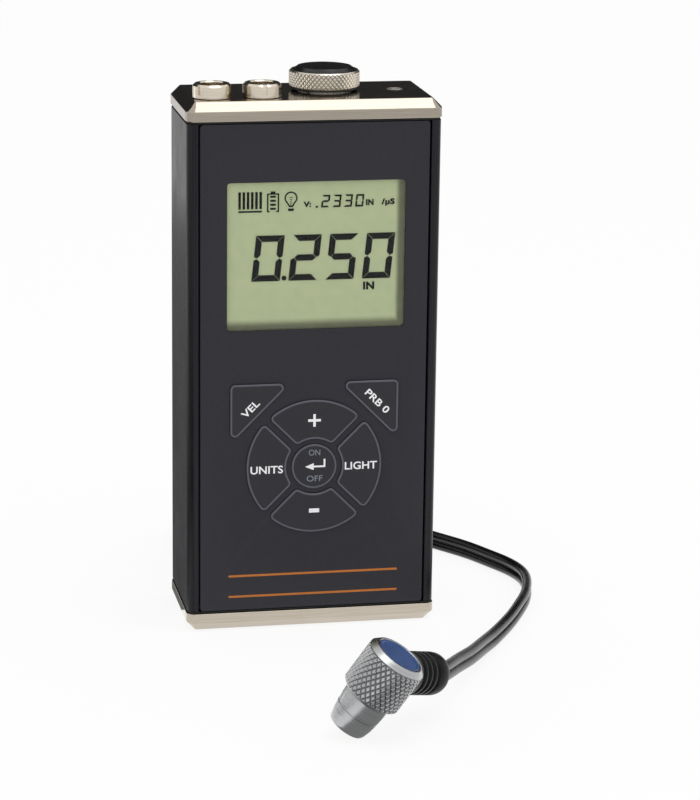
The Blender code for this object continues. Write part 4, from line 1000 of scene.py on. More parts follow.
@dataclass
class Leads:
    """The twin lead, its coil, its two tails and the pieces on them."""

    route: tuple[Point, ...] = (
        (0.0179, -0.0807, 0.0097),
        (0.0197, -0.0787, 0.0090),
        (0.0223, -0.0743, 0.0082),
        (0.0264, -0.0667, 0.0069),
        (0.0316, -0.0576, 0.0053),
        (0.0370, -0.0474, 0.0039),
        (0.0422, -0.0381, 0.0029),
        (0.0487, -0.0265, 0.00245),
        (0.0532, -0.0177, 0.00245),
        (0.0572, -0.0090, 0.00245),
        (0.0598, -0.0010, 0.00245),
        (0.0611, 0.0060, 0.00245),
        (0.0609, 0.0120, 0.00245),
        (0.0591, 0.0185, 0.00245),
        (0.0557, 0.0258, 0.00245),
        (0.0520, 0.0331, 0.00245),
        (0.0482, 0.0389, 0.00245),
        (0.0450, 0.0434, 0.00245),
        (0.0421, 0.0479, 0.00245),
        (0.0399, 0.0532, 0.00245),
        (0.0389, 0.0592, 0.00245),
    )
    end_route: tuple[Point, ...] = (
        (0.0383, 0.0612, 0.0074),
        (0.0396, 0.0660, 0.0062),
        (0.0403, 0.0712, 0.0045),
        (0.0404, 0.0766, 0.0034),
        (0.0400, 0.0811, 0.0031),
    )
    tail_routes: tuple[tuple[Point, ...], ...] = (
        (
            (0.0404, 0.0929, 0.0028),
            (0.0401, 0.0980, 0.0018),
            (0.0386, 0.1045, 0.00125),
            (0.0345, 0.1115, 0.00125),
            (0.0276, 0.1162, 0.00125),
            (0.0190, 0.1184, 0.00125),
            (0.0090, 0.1190, 0.00125),
            (-0.0002, 0.1182, 0.00125),
            (-0.0082, 0.1150, 0.00125),
            (-0.0131, 0.1096, 0.00125),
            (-0.0144, 0.1030, 0.00140),
            (-0.0125, 0.0974, 0.0022),
            (-0.0085, 0.0947, 0.0034),
            (-0.0043, 0.0942, 0.0040),
        ),
        (
            (0.0376, 0.0926, 0.0028),
            (0.0367, 0.0974, 0.0018),
            (0.0345, 0.1034, 0.00125),
            (0.0302, 0.1092, 0.00125),
            (0.0238, 0.1130, 0.00125),
            (0.0160, 0.1146, 0.00125),
            (0.0070, 0.1148, 0.00125),
            (-0.0010, 0.1142, 0.00125),
            (-0.0068, 0.1120, 0.00130),
            (-0.0098, 0.1080, 0.0018),
            (-0.0090, 0.1048, 0.0030),
            (-0.0068, 0.1037, 0.0038),
            (-0.0043, 0.1035, 0.0040),
        ),
    )
    width: float = 0.0049
    core_radius: float = 0.00125
    core_offset: float = 0.0012
    web: float = 0.12
    tail_diameter: float = 0.00245
    coil_at: tuple[float, float] = (0.006, 0.056)
    coil_outer: float = 0.0285
    coil_inner: float = 0.0212
    low_layer: float = 0.00245
    high_layer: float = 0.0075
    coil_start: float = math.radians(5.6)
    coil_settled: float = math.radians(75)
    climb_start: float = math.radians(1086)
    climb_end: float = math.radians(1136)
    coil_end: float = math.radians(2139)
    coil_steps: int = 230
    tie_angle: float = math.radians(170)
    tie_lift: tuple[float, float] = (0.0009, 0.0004)
    tie_fall: float = 3.2
    tie_pinch: float = 0.12
    tie_middle: tuple[float, float] = (0.0248, 0.0057)
    tie_outer: tuple[float, float, float] = (0.0108, 0.0114, 0.002)
    tie_inner: tuple[float, float, float] = (0.0094, 0.0098, 0.0013)
    tie_width: float = 0.006
    splitter_start: Point = (0.03995, 0.0814, 0.0031)
    splitter_heading: float = math.radians(95)
    splitter_length: float = 0.011
    splitter_radius: float = 0.0031
    splitter_end: tuple[float, float] = (0.86, 0.97)

    def coil_points(self) -> list[Point]:
        """The coil's turns: a lower layer wound inwards and an upper one wound back out.

        Returns:
            The points of the lead's middle line.
        """
        first = Vector(self.route[-1][:2]) - Vector(self.coil_at)
        points = []
        for i in range(1, self.coil_steps):
            angle = self.coil_start + (self.coil_end - self.coil_start) * i / self.coil_steps
            if angle < self.coil_settled:
                share = (angle - self.coil_start) / (self.coil_settled - self.coil_start)
                ease = share * share * (3 - 2 * share)
                radius = first.length + (self.coil_outer - first.length) * ease
            elif angle < self.climb_start:
                share = (angle - self.coil_settled) / (self.climb_start - self.coil_settled)
                radius = self.coil_outer + (self.coil_inner - self.coil_outer) * share
            else:
                share = max(0.0, (angle - self.climb_end) / (self.coil_end - self.climb_end))
                radius = self.coil_inner + (self.coil_outer - self.coil_inner) * share
            climb = min(1.0, max(0.0, (angle - self.climb_start) / (self.climb_end - self.climb_start)))
            height = self.low_layer + (self.high_layer - self.low_layer) * climb * climb * (3 - 2 * climb)
            off_tie = (angle - self.tie_angle + math.pi) % FULL_TURN - math.pi
            bump = 0.0
            if abs(off_tie) < math.pi / (2 * self.tie_fall):
                bump = max(0.0, math.cos(off_tie * self.tie_fall)) ** 2
            if angle > self.coil_settled:
                lift = self.tie_lift[0] + (self.tie_lift[1] - self.tie_lift[0]) * climb
                height += lift * bump
                middle = (self.coil_inner + self.coil_outer) / 2
                radius = middle + (radius - middle) * (1 - self.tie_pinch * bump)
            x = self.coil_at[0] + radius * math.cos(angle)
            y = self.coil_at[1] + radius * math.sin(angle)
            points.append((x, y, height))
        return points

    def section(self) -> bpy.types.Object:
        """The lead's section, two cores side by side with a web, as a closed flat curve.

        Returns:
            The curve's object, which is removed once the lead is a mesh.
        """
        reach = math.acos(self.core_offset / self.core_radius) + self.web
        around, steps = 1.5 * math.pi - reach, 22
        high = arc((0, self.core_offset), self.core_radius, -math.pi / 2 + reach, around, steps)
        around = 2.5 * math.pi - reach
        low = arc((0, -self.core_offset), self.core_radius, math.pi / 2 + reach, around, steps)
        curve = bpy.data.curves.new("lead_section", "CURVE")
        curve.dimensions = "2D"
        add_line(curve, high + low, True)
        return placed("lead_section", curve)

    def tube(self, points: Sequence[Vector], section: bpy.types.Object | None) -> Bench:
        """A closed tube along points.

        Args:
            points: Its middle line.
            section: Its section, or None for a round one.

        Returns:
            The bench with the tube on it.
        """
        curve = bpy.data.curves.new("tube", "CURVE")
        curve.dimensions = "3D"
        curve.twist_mode = "Z_UP"
        curve.use_fill_caps = True
        if section:
            curve.bevel_mode = "OBJECT"
            curve.bevel_object = section
        else:
            curve.bevel_depth = self.tail_diameter / 2
            curve.bevel_resolution = 5
        add_line(curve, points, False)
        return Bench.of_mesh(evaluated_mesh(curve), False)

    def build_twin_lead(self) -> None:
        """The whole twin lead, from the probe's boot through the coil to the splitter."""
        points = smooth_route([*self.route, *self.coil_points(), *self.end_route], 3)
        section = self.section()
        bench = self.tube(points, section)
        bpy.data.objects.remove(section)
        lead = bench.piece(
            "twin_lead_jacket", "gauge", [JACKET], None, ["twin_lead", "lead_coil", "lead_end"], 50.0
        )
        self.build_splitter()
        self.build_tie()

    def build_splitter(self) -> bpy.types.Object:
        """The moulded sleeve where the lead parts into its two tails.

        Returns:
            The piece.
        """
        full, radius = self.splitter_length, self.splitter_radius
        flat, end = (self.width / 2 * share for share in self.splitter_end)
        profile = [(0, full), (flat, full), (end, full - EDGE * 2)]
        profile += [(radius - EDGE, full * 0.77), (radius, full * 0.7), (radius, full * 0.3)]
        profile += [(radius - EDGE, full * 0.23), (end, EDGE * 2), (flat, 0), (0, 0)]
        lying = Matrix.Rotation(self.splitter_heading, 4, "Z") @ Matrix.Rotation(math.pi / 2, 4, "Y")
        at = Matrix.Translation(self.splitter_start) @ lying
        return Bench.turned(profile, 48).piece(
            "splitter_sleeve", "gauge", [BOOT], at, ["lead_splitter"], 40.0
        )

    def build_tie(self) -> bpy.types.Object:
        """The strap round the coil, a flat band with rounded corners.

        Returns:
            The piece.
        """
        bench = Bench()
        rims = []
        for box in (self.tie_outer, self.tie_inner):
            outline = rounded_box(*box, self.tie_middle)
            verts = [bench.shape.verts.new((x, 0, z)) for x, z in outline]
            rims += [bench.shape.edges.new(pair) for pair in zip(verts, verts[1:] + verts[:1])]
        bmesh.ops.bridge_loops(bench.shape, edges=rims)
        moved, _ = bench.grown(list(bench.shape.faces))
        bmesh.ops.translate(bench.shape, verts=moved, vec=(0, self.tie_width, 0))
        bmesh.ops.translate(bench.shape, verts=bench.shape.verts, vec=(0, -self.tie_width / 2, 0))
        bench.clean()
        at = Matrix.Translation((*self.coil_at, 0)) @ Matrix.Rotation(self.tie_angle, 4, "Z")
        return bench.piece("coil_strap", "gauge", [STRAP], at, ["coil_tie"], 40.0, 0.00015)

    def build_tails(self, plugs: "Plugs") -> None:
        """The two single cores from the splitter to their plugs.

        Args:
            plugs: The plugs that they end in; not used.
        """
        for tag, route in zip("ab", self.tail_routes):
            points = smooth_route(route, 5)
            tail = self.tube(points, None).piece(
                f"tail_{tag}_jacket", "gauge", [JACKET], None, [f"lead_tail_{tag}"], 50.0
            )


@dataclass
class Plugs:
    """The two push-pull plugs, each a boot, a nut, a sliding sleeve and a nose."""

    tail_end_x: float = -0.004
    rows: tuple[float, float] = (0.0942, 0.1035)
    axis_height: float = 0.004
    boot_length: float = 0.0095
    boot_radius: float = 0.0029
    boot_end: float = 0.0017
    boot_edge: float = 0.0002
    boot_ribs: tuple[float, ...] = (0.75, 0.5, 0.25)
    boot_rib: Steps = ((0.0001, 0.0006), (-0.00015, 0.0003), (-0.00015, -0.0003), (0.00005, -0.0006))
    nut_radius: float = 0.0034
    nut_length: float = 0.0035
    neck_radius: float = 0.0025
    sleeve_radius: float = 0.004
    sleeve_length: float = 0.0095
    travel: float = 0.0012
    grip_pitch: float = 0.0018
    grip_groove: Steps = ((0.0, 0.00012), (0.00025, -0.0001), (0.00025, -0.0008), (0.0, -0.00102))
    nose_radius: float = 0.003
    nose_length: float = 0.007
    nose_bore: float = 0.0023
    nose_edge: float = 0.00025
    nose_groove: Steps = ((0.0, 0.0025), (0.0002, 0.0022), (0.0002, 0.0012), (0.0, 0.0009))
    pin_radius: float = 0.0005
    gap: float = 0.0003
    made: dict[str, list[bpy.types.Object]] = field(default_factory=dict)

    def boot_profile(self) -> Outline:
        """The boot's profile, from its wide end down to the core.

        Returns:
            The profile.
        """
        tail, length, edge = self.boot_end, self.boot_length, self.boot_edge
        points: Outline = [(0, length), (self.boot_radius - edge, length)]
        points.append((self.boot_radius, length - edge))
        for share in self.boot_ribs:
            radius, height = tail + (self.boot_radius - tail) * share, length * share
            points += [(radius + out, height + up) for out, up in self.boot_rib]
        return points + [(tail, EDGE), (tail - EDGE, 0), (0, 0)]

    def body_profile(self, nut: float, nose: float) -> Outline:
        """The plug's metal body, from its nose back to its nut.

        Args:
            nut: Where the nut starts.
            nose: Where the nose starts.

        Returns:
            The profile.
        """
        tip, neck = nose + self.nose_length, nut + self.nut_length
        floor, pin = nose + self.gap, self.pin_radius
        points = [(0, tip - 0.0005), (pin * 0.6, tip - 0.00055), (pin, tip - 0.00085), (pin, floor)]
        points += [(self.nose_bore, floor), (self.nose_bore, tip - EDGE), (self.nose_bore + EDGE, tip)]
        out, edge, wide = self.nose_radius, self.nose_edge, self.nut_radius
        points += [(out - edge, tip), (out, tip - edge)]
        points += [(out - deep, nose + up) for deep, up in self.nose_groove]
        points += [(out, nose), (self.neck_radius, nose), (self.neck_radius, neck)]
        points += [(wide - EDGE * 2, neck), (wide, neck - EDGE * 2)]
        return points + [(wide, nut + edge), (wide - edge, nut), (0, nut)]

    def sleeve_profile(self, low: float) -> Outline:
        """The sliding sleeve's profile, with its grip grooves.

        Args:
            low: Where it starts.

        Returns:
            The profile.
        """
        high, bore, out = low + self.sleeve_length, self.neck_radius + self.gap, self.sleeve_radius
        points = [(bore, high), (out - 0.00035, high), (out, high - 0.0004)]
        for i in (1, 2, 3):
            top = high - self.grip_pitch * i
            points += [(out - deep, top + up) for deep, up in self.grip_groove]
        return points + [(out, low + 0.00035), (out - 0.0003, low), (bore, low)]

    def build(self) -> None:
        """Builds both plugs."""
        for tag, row in zip("ab", self.rows):
            at = Matrix.Translation((self.tail_end_x, row, self.axis_height))
            at = at @ Matrix.Rotation(math.pi / 2, 4, "Y")
            nut = self.boot_length + self.gap
            low = nut + self.nut_length + self.gap + self.travel
            nose = low + self.sleeve_length + self.gap
            steel = SOCKET_NICKEL.turned_on(at)
            boot = Bench.turned(self.boot_profile(), 48).piece(
                f"plug_strain_relief_{tag}", "gauge", [BOOT], at, [f"plug_boot_{tag}"]
            )
            body = Bench.turned(self.body_profile(nut, nose), 64).piece(
                f"plug_shell_{tag}", "gauge", [steel], at, [f"plug_body_{tag}"]
            )
            sleeve = Bench.turned(self.sleeve_profile(low), 64, True).piece(
                f"plug_grip_{tag}", f"plug_sleeve_{tag}", [steel], at, [f"plug_sleeve_{tag}"]
            )
            self.made[tag] = [boot, body, sleeve]


@dataclass
class Case:
    """The extrusion, its end caps, gaskets and screws."""

    edge: float = 0.00014
    screw_edge: float = 0.00006

    def build(self) -> None:
        """Dresses the case and its closures."""
        Bench.copy_of("case_extrusion").piece(
            "case_shell", "gauge", [ANODISED], None, ["case_extrusion"], 30.0, self.edge
        )
        for end in ("top", "bottom"):
            Bench.copy_of(f"{end}_end_cap").piece(
                f"{end}_cap_plate", "gauge", [NICKEL], None, [f"{end}_end_cap"], 30.0, self.edge
            )
            dressed(f"{end}_gasket", GASKET)
            for side in ("left", "right"):
                Bench.copy_of(f"screw_{end}_{side}").piece(
                    f"cap_screw_{end}_{side}", "gauge", [SCREW_STEEL], None,
                    [f"screw_{end}_{side}"], 35.0, self.screw_edge,
                )


@dataclass
class Panel:
    """The printed film with its window, the seven keys and their legends."""

    width: float = 0.0568
    low: float = 0.0054
    high: float = 0.1289
    corner: float = 0.0008
    front: float = -0.01545
    back: float = -0.01495
    film_edge: float = 0.00005
    window: tuple[float, float, float, float] = (0.0444, 0.0370, 0.0004, 0.0960)
    ring_x: float = 0.00025
    ring_middle: float = 0.0423
    ring_radius: float = 0.0171
    ring_bore: float = 0.0071
    spacing: float = 0.00175
    key_corner: float = 0.0012
    enter_radius: float = 0.0057
    corner_side: float = 0.0134
    corner_reach: float = 0.0212
    corner_top: float = 0.0639
    key_back: float = -0.0151
    key_height: float = 0.0007
    rounding: float = 0.0001
    line_width: float = 0.00036
    dish: float = 0.00012
    dish_width: float = 0.00022
    crown: float = 0.00004
    crown_width: float = 0.00038
    aperture_gap: float = 0.00004
    print_thickness: float = 0.00003
    bold: float = 0.018
    rule: tuple[float, float, float] = (0.0432, 0.00055, 0.0002)
    rule_x: float = 0.0003
    rule_places: tuple[float, float] = (0.0143, 0.0089)

    def ring_key(self, quarter: int, grow: float) -> Outline:
        """One quarter of the key ring.

        Args:
            quarter: Which one, anticlockwise from the right.
            grow: How much larger it is all round.

        Returns:
            Its outline.
        """
        outer, inner, fillet = self.ring_radius + grow, self.ring_bore - grow, self.key_corner + grow
        off = self.spacing / 2 - grow + fillet
        far = math.pi / 4 - math.asin(off / (outer - fillet))
        near = math.pi / 4 - math.asin(off / (inner + fillet))
        far_at = ((outer - fillet) * math.cos(far), (outer - fillet) * math.sin(far))
        near_at = ((inner + fillet) * math.cos(near), (inner + fillet) * math.sin(near))
        square = math.radians(135)
        half = arc((0, 0), outer, 0, far, 16)[:-1] + arc(far_at, fillet, far, square, 8)
        half += arc(near_at, fillet, square, math.pi + near, 8) + arc((0, 0), inner, near, 0, 8)[1:]
        points = half + [(x, -y) for x, y in reversed(half[1:-1])]
        turn = Matrix.Rotation(quarter * math.pi / 2, 2)
        middle = Vector((self.ring_x, self.ring_middle))
        return [tuple(turn @ Vector(point) + middle) for point in points]

    def corner_key(self, side: int, grow: float) -> Outline:
        """The triangular key above the ring.

        Args:
            side: -1 for the left one, 1 for the right one.
            grow: How much larger it is all round.

        Returns:
            Its outline.
        """
        sharp = self.corner_side + self.key_corner * math.sqrt(2) + grow * (1 + math.sqrt(2))
        far, near = self.corner_reach + grow, self.corner_reach - sharp
        high, low = self.corner_top + grow, self.corner_top - sharp
        points = [(side * near, high), (side * far, low), (side * far, high)]
        if side < 0:
            points.reverse()
        return [(x + self.ring_x, y) for x, y in filleted(points, self.key_corner + grow)]

    def enter_key(self, grow: float) -> Outline:
        """The round key in the ring's middle.

        Args:
            grow: How much larger it is all round.

        Returns:
            Its outline.
        """
        return arc((self.ring_x, self.ring_middle), self.enter_radius + grow, 0, FULL_TURN, 72)[:-1]

    def keys(self) -> dict[str, Callable[[float], Outline]]:
        """Every key's outline by the name of its node.

        Returns:
            Functions that give an outline from how much larger it is.
        """
        ring = ("key_right", "key_plus", "key_left", "key_minus")
        return {
            **{name: partial(self.ring_key, quarter) for quarter, name in enumerate(ring)},
            "key_enter": self.enter_key,
            "key_corner_left": partial(self.corner_key, -1),
            "key_corner_right": partial(self.corner_key, 1),
        }

    def build_film(self) -> None:
        """The film itself, with its openings."""
        wide, high, x, z = self.window
        middle = (0.0, (self.low + self.high) / 2)
        outlines = [rounded_box(self.width, self.high - self.low, self.corner, middle)]
        outlines.append(rounded_box(wide, high, self.corner, (x, z)))
        outlines += [outline(self.aperture_gap) for outline in self.keys().values()]
        curve = bpy.data.curves.new("film", "CURVE")
        curve.dimensions = "2D"
        curve.fill_mode = "BOTH"
        curve.extrude = (self.back - self.front) / 2 - self.film_edge
        curve.bevel_depth = self.film_edge
        curve.bevel_resolution = 1
        curve.offset = -self.film_edge
        for outline in outlines:
            add_line(curve, outline, True)
        mesh = evaluated_mesh(curve)
        mesh.transform(on_front(0, (self.front + self.back) / 2, 0))
        Bench.of_mesh(mesh).piece("printed_film", "gauge", [FILM], None, ["keypad_overlay"], 30.0)

    def build_key(self, name: str, outline: Callable[[float], Outline]) -> None:
        """One key: a soft raised line round a slightly full field.

        Args:
            name: The key's node.
            outline: Its edge by how much larger it is all round.
        """
        high, inner = self.key_height, self.rounding + self.line_width
        levels = [(0.0, 0.0), (0.0, high - self.rounding), (self.rounding, high), (inner, high)]
        levels += [(inner + self.dish_width, high - self.dish)]
        levels += [(inner + self.dish_width + self.crown_width, high - self.dish + self.crown)]
        bench = Bench.sheet(outline(0.0))
        place = bench.shape.verts.layers.int.new("place")
        bench.shape.faces.ensure_lookup_table()
        top = bench.shape.faces[0]
        for i, vert in enumerate(bench.shape.verts):
            vert[place] = i
        for i, (inset, height) in enumerate(levels[1:]):
            below = top
            _, (top,) = bench.grown([below])
            if i and below.is_valid:
                bmesh.ops.delete(bench.shape, geom=[below], context="FACES_ONLY")
            rim = outline(-inset)
            for vert in top.verts:
                vert.co = (*rim[vert[place]], height)
            for face in {face for edge in top.edges for face in edge.link_faces}:
                face.material_index = 1 if face is not top and i in (1, 2) else 0
        bench.clean()
        bench.piece(
            f"{name}_cap", name, [KEY_FILM, KEY_LINE], on_front(0, self.key_back, 0), [name], 40.0
        )

    def build_legends(self) -> None:
        """The printed words and signs, each on its own key."""
        ground = self.key_back - (self.key_height - self.dish + self.crown)
        # Places and sizes in millimetres: x, z, length, height; then the turn in degrees.
        words = (
            ("legend_velocity", "key_corner_left", "VEL", -15.9, 57.65, 5.2, 1.85, 45.0, WHITE_PRINT),
            ("legend_probe_zero", "key_corner_right", "PRB 0", 16.15, 58.5, 7.7, 1.85, -45.0, WHITE_PRINT),
            ("legend_units", "key_left", "UNITS", -11.75, 41.8, 8.2, 2.0, 0.0, WHITE_PRINT),
            ("legend_light", "key_right", "LIGHT", 12.15, 42.05, 8.2, 2.0, 0.0, WHITE_PRINT),
            ("legend_on", "key_enter", "ON", 0.32, 45.83, 2.9, 1.5, 0.0, GREY_PRINT),
            ("legend_off", "key_enter", "OFF", 0.42, 39.1, 4.0, 1.5, 0.0, GREY_PRINT),
        )
        for name, body, text, x, z, length, height, turn, finish in words:
            thick = self.bold if finish is WHITE_PRINT else 0.0
            bench = Bench()
            at = on_front(x / MM, ground, z / MM, turn)
            bench.add(lettering(text, length / MM, height / MM, thick), at, self.print_thickness)
            bench.piece(name, body, [finish])
        arm, stroke = 0.0016, 0.00032
        plus = [(-arm, -stroke), (-stroke, -stroke), (-stroke, -arm), (stroke, -arm)]
        plus += [(stroke, -stroke), (arm, -stroke), (arm, stroke), (stroke, stroke)]
        plus += [(stroke, arm), (-stroke, arm), (-stroke, stroke), (-arm, stroke)]
        minus = rounded_box(0.0026, 0.00105, 0.00005, steps=1)
        arrow = [(-0.0023, 0.0), (-0.0001, -0.0009), (-0.0001, -0.00022), (0.00285, -0.00022)]
        arrow += [(0.00285, 0.0019), (0.0024, 0.0019), (0.0024, 0.00022), (-0.0001, 0.00022)]
        arrow.append((-0.0001, 0.0009))
        for name, body, outline, x, z in (
            ("sign_plus", "key_plus", plus, 0.25, 54.15),
            ("sign_minus", "key_minus", minus, 0.34, 30.75),
            ("sign_enter", "key_enter", arrow, 0.25, 42.2),
        ):
            bench = Bench.sheet(outline)
            bench.raised(self.print_thickness)
            bench.piece(name, body, [WHITE_PRINT], on_front(x / MM, ground, z / MM))

    def build_rules(self) -> None:
        """Two plain printed rules across the film's foot."""
        bench = Bench()
        for z in self.rule_places:
            line = Bench.sheet(rounded_box(*self.rule, steps=3))
            line.raised(self.print_thickness)
            bench.add_bench(line, Matrix.Translation((self.rule_x, z, 0)))
        bench.piece("foot_rules", "gauge", [ORANGE_PRINT], on_front(0, self.front, 0))

    def build(self) -> None:
        """Builds the whole panel."""
        self.build_film()
        for name, outline in self.keys().items():
            self.build_key(name, outline)
        self.build_legends()
        self.build_rules()
        dressed("keypad_circuit", MEMBRANE)


@dataclass(frozen=True)
class DigitRow:
    """A row of digits: where it starts and stands, its pitch, and its digits' size and strokes."""

    left: float
    foot: float
    pitch: float
    width: float
    height: float
    stroke: float


@dataclass
class Display:
    """The liquid crystal glass, its reading and signs, and the clear window in front."""

    ground: float = -0.01479
    thickness: float = 0.00005
    slant: float = math.radians(6.0)
    right: float = 0.0226
    low: float = 0.0775
    bold: float = 0.045
    stroke_gap: float = 0.045
    sharp: float = 0.00002
    reading: DigitRow = DigitRow(-0.0157, 0.08975, 0.00921, 0.0071, 0.01145, 0.00156)
    speed: DigitRow = DigitRow(0.00152, 0.10787, 0.00283, 0.0020, 0.0031, 0.00043)
    point: Box = (-0.00815, 0.08985, -0.00695, 0.09105)
    point_radius: float = 0.00055
    small_point: Box = (0.00022, 0.10783, 0.00076, 0.10831)
    unit: tuple[str, float, float, float, float] = ("IN", 0.01368, 0.08795, 0.0028, 0.0020)
    small_words: tuple[tuple[str, float, float, float, float], ...] = (
        ("V:", -0.00188, 0.10873, 0.0019, 0.0014),
        ("IN", 0.01370, 0.1089, 0.0019, 0.0015),
        ("/µS", 0.01827, 0.10884, 0.0033, 0.0018),
    )
    strokes: dict[str, str] = field(default_factory=lambda: {
        "0": "abcdef", "2": "abged", "3": "abgcd", "5": "afgcd",
    })

    def stroke(self, letter: str, row: DigitRow) -> Outline:
        """The outline of one of a digit's seven strokes.

        Args:
            letter: Which stroke, a to g.
            row: The digit's row.

        Returns:
            The outline.
        """
        wide, high, thick = row.width, row.height, row.stroke
        gap = thick * self.stroke_gap
        middle, half = high / 2, thick / 2
        start, end = thick + gap, wide - thick - gap
        across = {
            "a": [(gap, high), (start, high - thick), (end, high - thick), (wide - gap, high)],
            "d": [(gap, 0), (wide - gap, 0), (end, thick), (start, thick)],
            "g": [(half + gap, middle), (start, middle - half), (end, middle - half),
                  (wide - half - gap, middle), (end, middle + half), (start, middle + half)],
        }
        if letter in across:
            return across[letter]
        up = [(0, high - gap), (0, middle + half * 0.5 + gap), (half, middle + gap),
              (thick, middle + half + gap), (thick, high - thick - gap)]
        down = [(x, high - y) for x, y in reversed(up)]
        if letter in "fe":
            return up if letter == "f" else down
        mirrored = up if letter == "b" else down
        return [(wide - x, y) for x, y in reversed(mirrored)]

    def add_digits(self, bench: Bench, digits: str, row: DigitRow) -> None:
        """Adds a row of slanted digits.

        Args:
            bench: Where they go.
            digits: The digits.
            row: Their places and sizes.
        """
        lean = Matrix.Identity(4)
        lean[0][1] = math.tan(self.slant)
        for i, digit in enumerate(digits):
            at = Matrix.Translation((row.left + row.pitch * i, row.foot, 0)) @ lean
            for letter in self.strokes[digit]:
                part = Bench.sheet(self.stroke(letter, row))
                part.raised(self.thickness)
                bench.add_bench(part, at)

    def add_bars(self, bench: Bench, bars: Iterable[Box], radius: float) -> None:
        """Adds bars.

        Args:
            bench: Where they go.
            bars: The left side, foot, right side and top of each.
            radius: Their corners' radius.
        """
        for left, foot, right, top in bars:
            middle = ((left + right) / 2, (foot + top) / 2)
            part = Bench.sheet(rounded_box(right - left, top - foot, radius, middle, 3))
            part.raised(self.thickness)
            bench.add_bench(part)

    def add_words(self, bench: Bench, text: str, x: float, z: float, length: float, height: float) -> None:
        """Adds bold lettering.

        Args:
            bench: Where it goes.
            text: What it says.
            x: Its middle.
            z: Its middle's height.
            length: Its whole length.
            height: Its whole height.
        """
        words = lettering(text, length, height, self.bold)
        bench.add(words, Matrix.Translation((x, z, 0)), self.thickness)

    def build_reading(self) -> None:
        """The large reading and its unit."""
        bench = Bench()
        self.add_digits(bench, "0250", self.reading)
        self.add_bars(bench, [self.point], self.point_radius)
        self.add_words(bench, *self.unit)
        bench.piece("display_reading", "gauge", [DISPLAY_INK], on_front(0, self.ground, 0))

    def build_signs(self) -> None:
        """The small signs along the display's top."""
        bench = Bench()
        self.add_bars(bench, self.level_sign() + self.battery_sign(), self.sharp)
        self.add_bulb(bench)
        self.add_digits(bench, "2330", self.speed)
        self.add_bars(bench, [self.small_point], self.sharp)
        for words in self.small_words:
            self.add_words(bench, *words)
        bench.piece("display_signs", "gauge", [DISPLAY_INK], on_front(0, self.ground, 0))

    def level_sign(self) -> list[Box]:
        """Six upright bars over a line.

        Returns:
            The bars.
        """
        left, pitch, width, foot, top = -0.01895, 0.00104, 0.00062, 0.10785, 0.1121
        bars = [(left + pitch * i, foot, left + pitch * i + width, top) for i in range(6)]
        return [*bars, (left, 0.10702, -0.01313, 0.10744)]

    def battery_sign(self) -> list[Box]:
        """A battery: its two walls, its foot and top, its cap and its four charge bars.

        Returns:
            The bars.
        """
        left, right, foot, top, wall = -0.01188, -0.00894, 0.107, 0.11165, 0.00036
        bars = [(x, foot, x + wall, top) for x in (left, -0.00924)]
        bars += [(left, foot, -0.0112, 0.1073), (-0.00962, foot, right, 0.1073)]
        bars += [(left, 0.11135, right, top), (-0.01098, top, -0.00984, 0.11215)]
        charge = (0.10762, 0.10862, 0.10962, 0.11062)
        return bars + [(-0.0111, z - 0.00003, -0.0097, z + 0.00047) for z in charge]

    def add_bulb(self, bench: Bench) -> None:
        """Adds the light's sign: a bulb with its filament and its foot.

        Args:
            bench: Where it goes.
        """
        x, z, radius, thick = -0.00594, 0.1104, 0.00162, 0.00034
        outline = arc((x, z), radius, math.radians(-50), math.radians(230), 26)
        outline += [(x - 0.00045, 0.10815), (x + 0.00045, 0.10815)]
        ring = Bench.sheet(outline)
        ring.hollowed(thick)
        ring.raised(self.thickness)
        bench.add_bench(ring)
        self.add_bars(bench, [(x - 0.0007, 0.1072, x + 0.0007, 0.1078)], 0.00012)
        filament = [(x - 0.0005, 0.11045, x + 0.0005, 0.11058), (x - 0.00035, 0.10995, x + 0.00035, 0.11008)]
        self.add_bars(bench, [*filament, (x - 0.00008, 0.1083, x + 0.00008, 0.10965)], self.sharp)

    def glass(self) -> bpy.types.Material:
        """The pale green glass, with painted shade along its right and lower edges where the frame round it
        would shade it.

        Returns:
            The material.
        """
        recipe = Recipe("display_glass")
        where = recipe.add("TexCoord").outputs["Object"]
        parts = recipe.add("SeparateXYZ", {0: where})
        # Painted shade: the glass colour turns darker towards its right and lower edges.
        beside = recipe.spread(parts.outputs["X"], 0.0, 1.0, self.right - 0.0026, self.right - 0.0012)
        below = recipe.spread(parts.outputs["Z"], 1.0, 0.0, self.low + 0.0008, self.low + 0.0030)
        for part in (beside, below):
            part.node.interpolation_type = "SMOOTHSTEP"
        painted_shade_share = recipe.add("Math", {0: beside, 1: below}, operation="MAXIMUM").outputs[0]
        noise = recipe.add("TexNoise", {"Vector": where, "Scale": 420.0, "Detail": 3.0}).outputs["Fac"]
        plain = recipe.ramp(noise, seen(171, 181, 141), seen(177, 187, 145), 0.3, 0.7)
        shadow = recipe.ramp(noise, seen(90, 94, 70), seen(98, 102, 76), 0.3, 0.7)
        recipe.set({
            "Base Color": recipe.mix(painted_shade_share, plain, shadow),
            "Roughness": recipe.spread(noise, 0.3, 0.4),
            "Specular IOR Level": 0.3,
        })
        return recipe.material

    def window(self) -> bpy.types.Material:
        """The clear window in the film.

        Returns:
            The material.
        """
        recipe = Recipe("clear_window")
        where = recipe.add("TexCoord").outputs["Object"]
        noise = recipe.add("TexNoise", {"Vector": where, "Scale": 160.0, "Detail": 2.0}).outputs["Fac"]
        recipe.set({
            "Base Color": recipe.ramp(noise, (0.80, 0.84, 0.80), (0.84, 0.88, 0.84), 0.3, 0.7),
            "Roughness": recipe.spread(noise, 0.1, 0.16),
            "Specular IOR Level": 0.2,
            "Alpha": 0.012,
        })
        recipe.material.surface_render_method = "BLENDED"
        return recipe.material

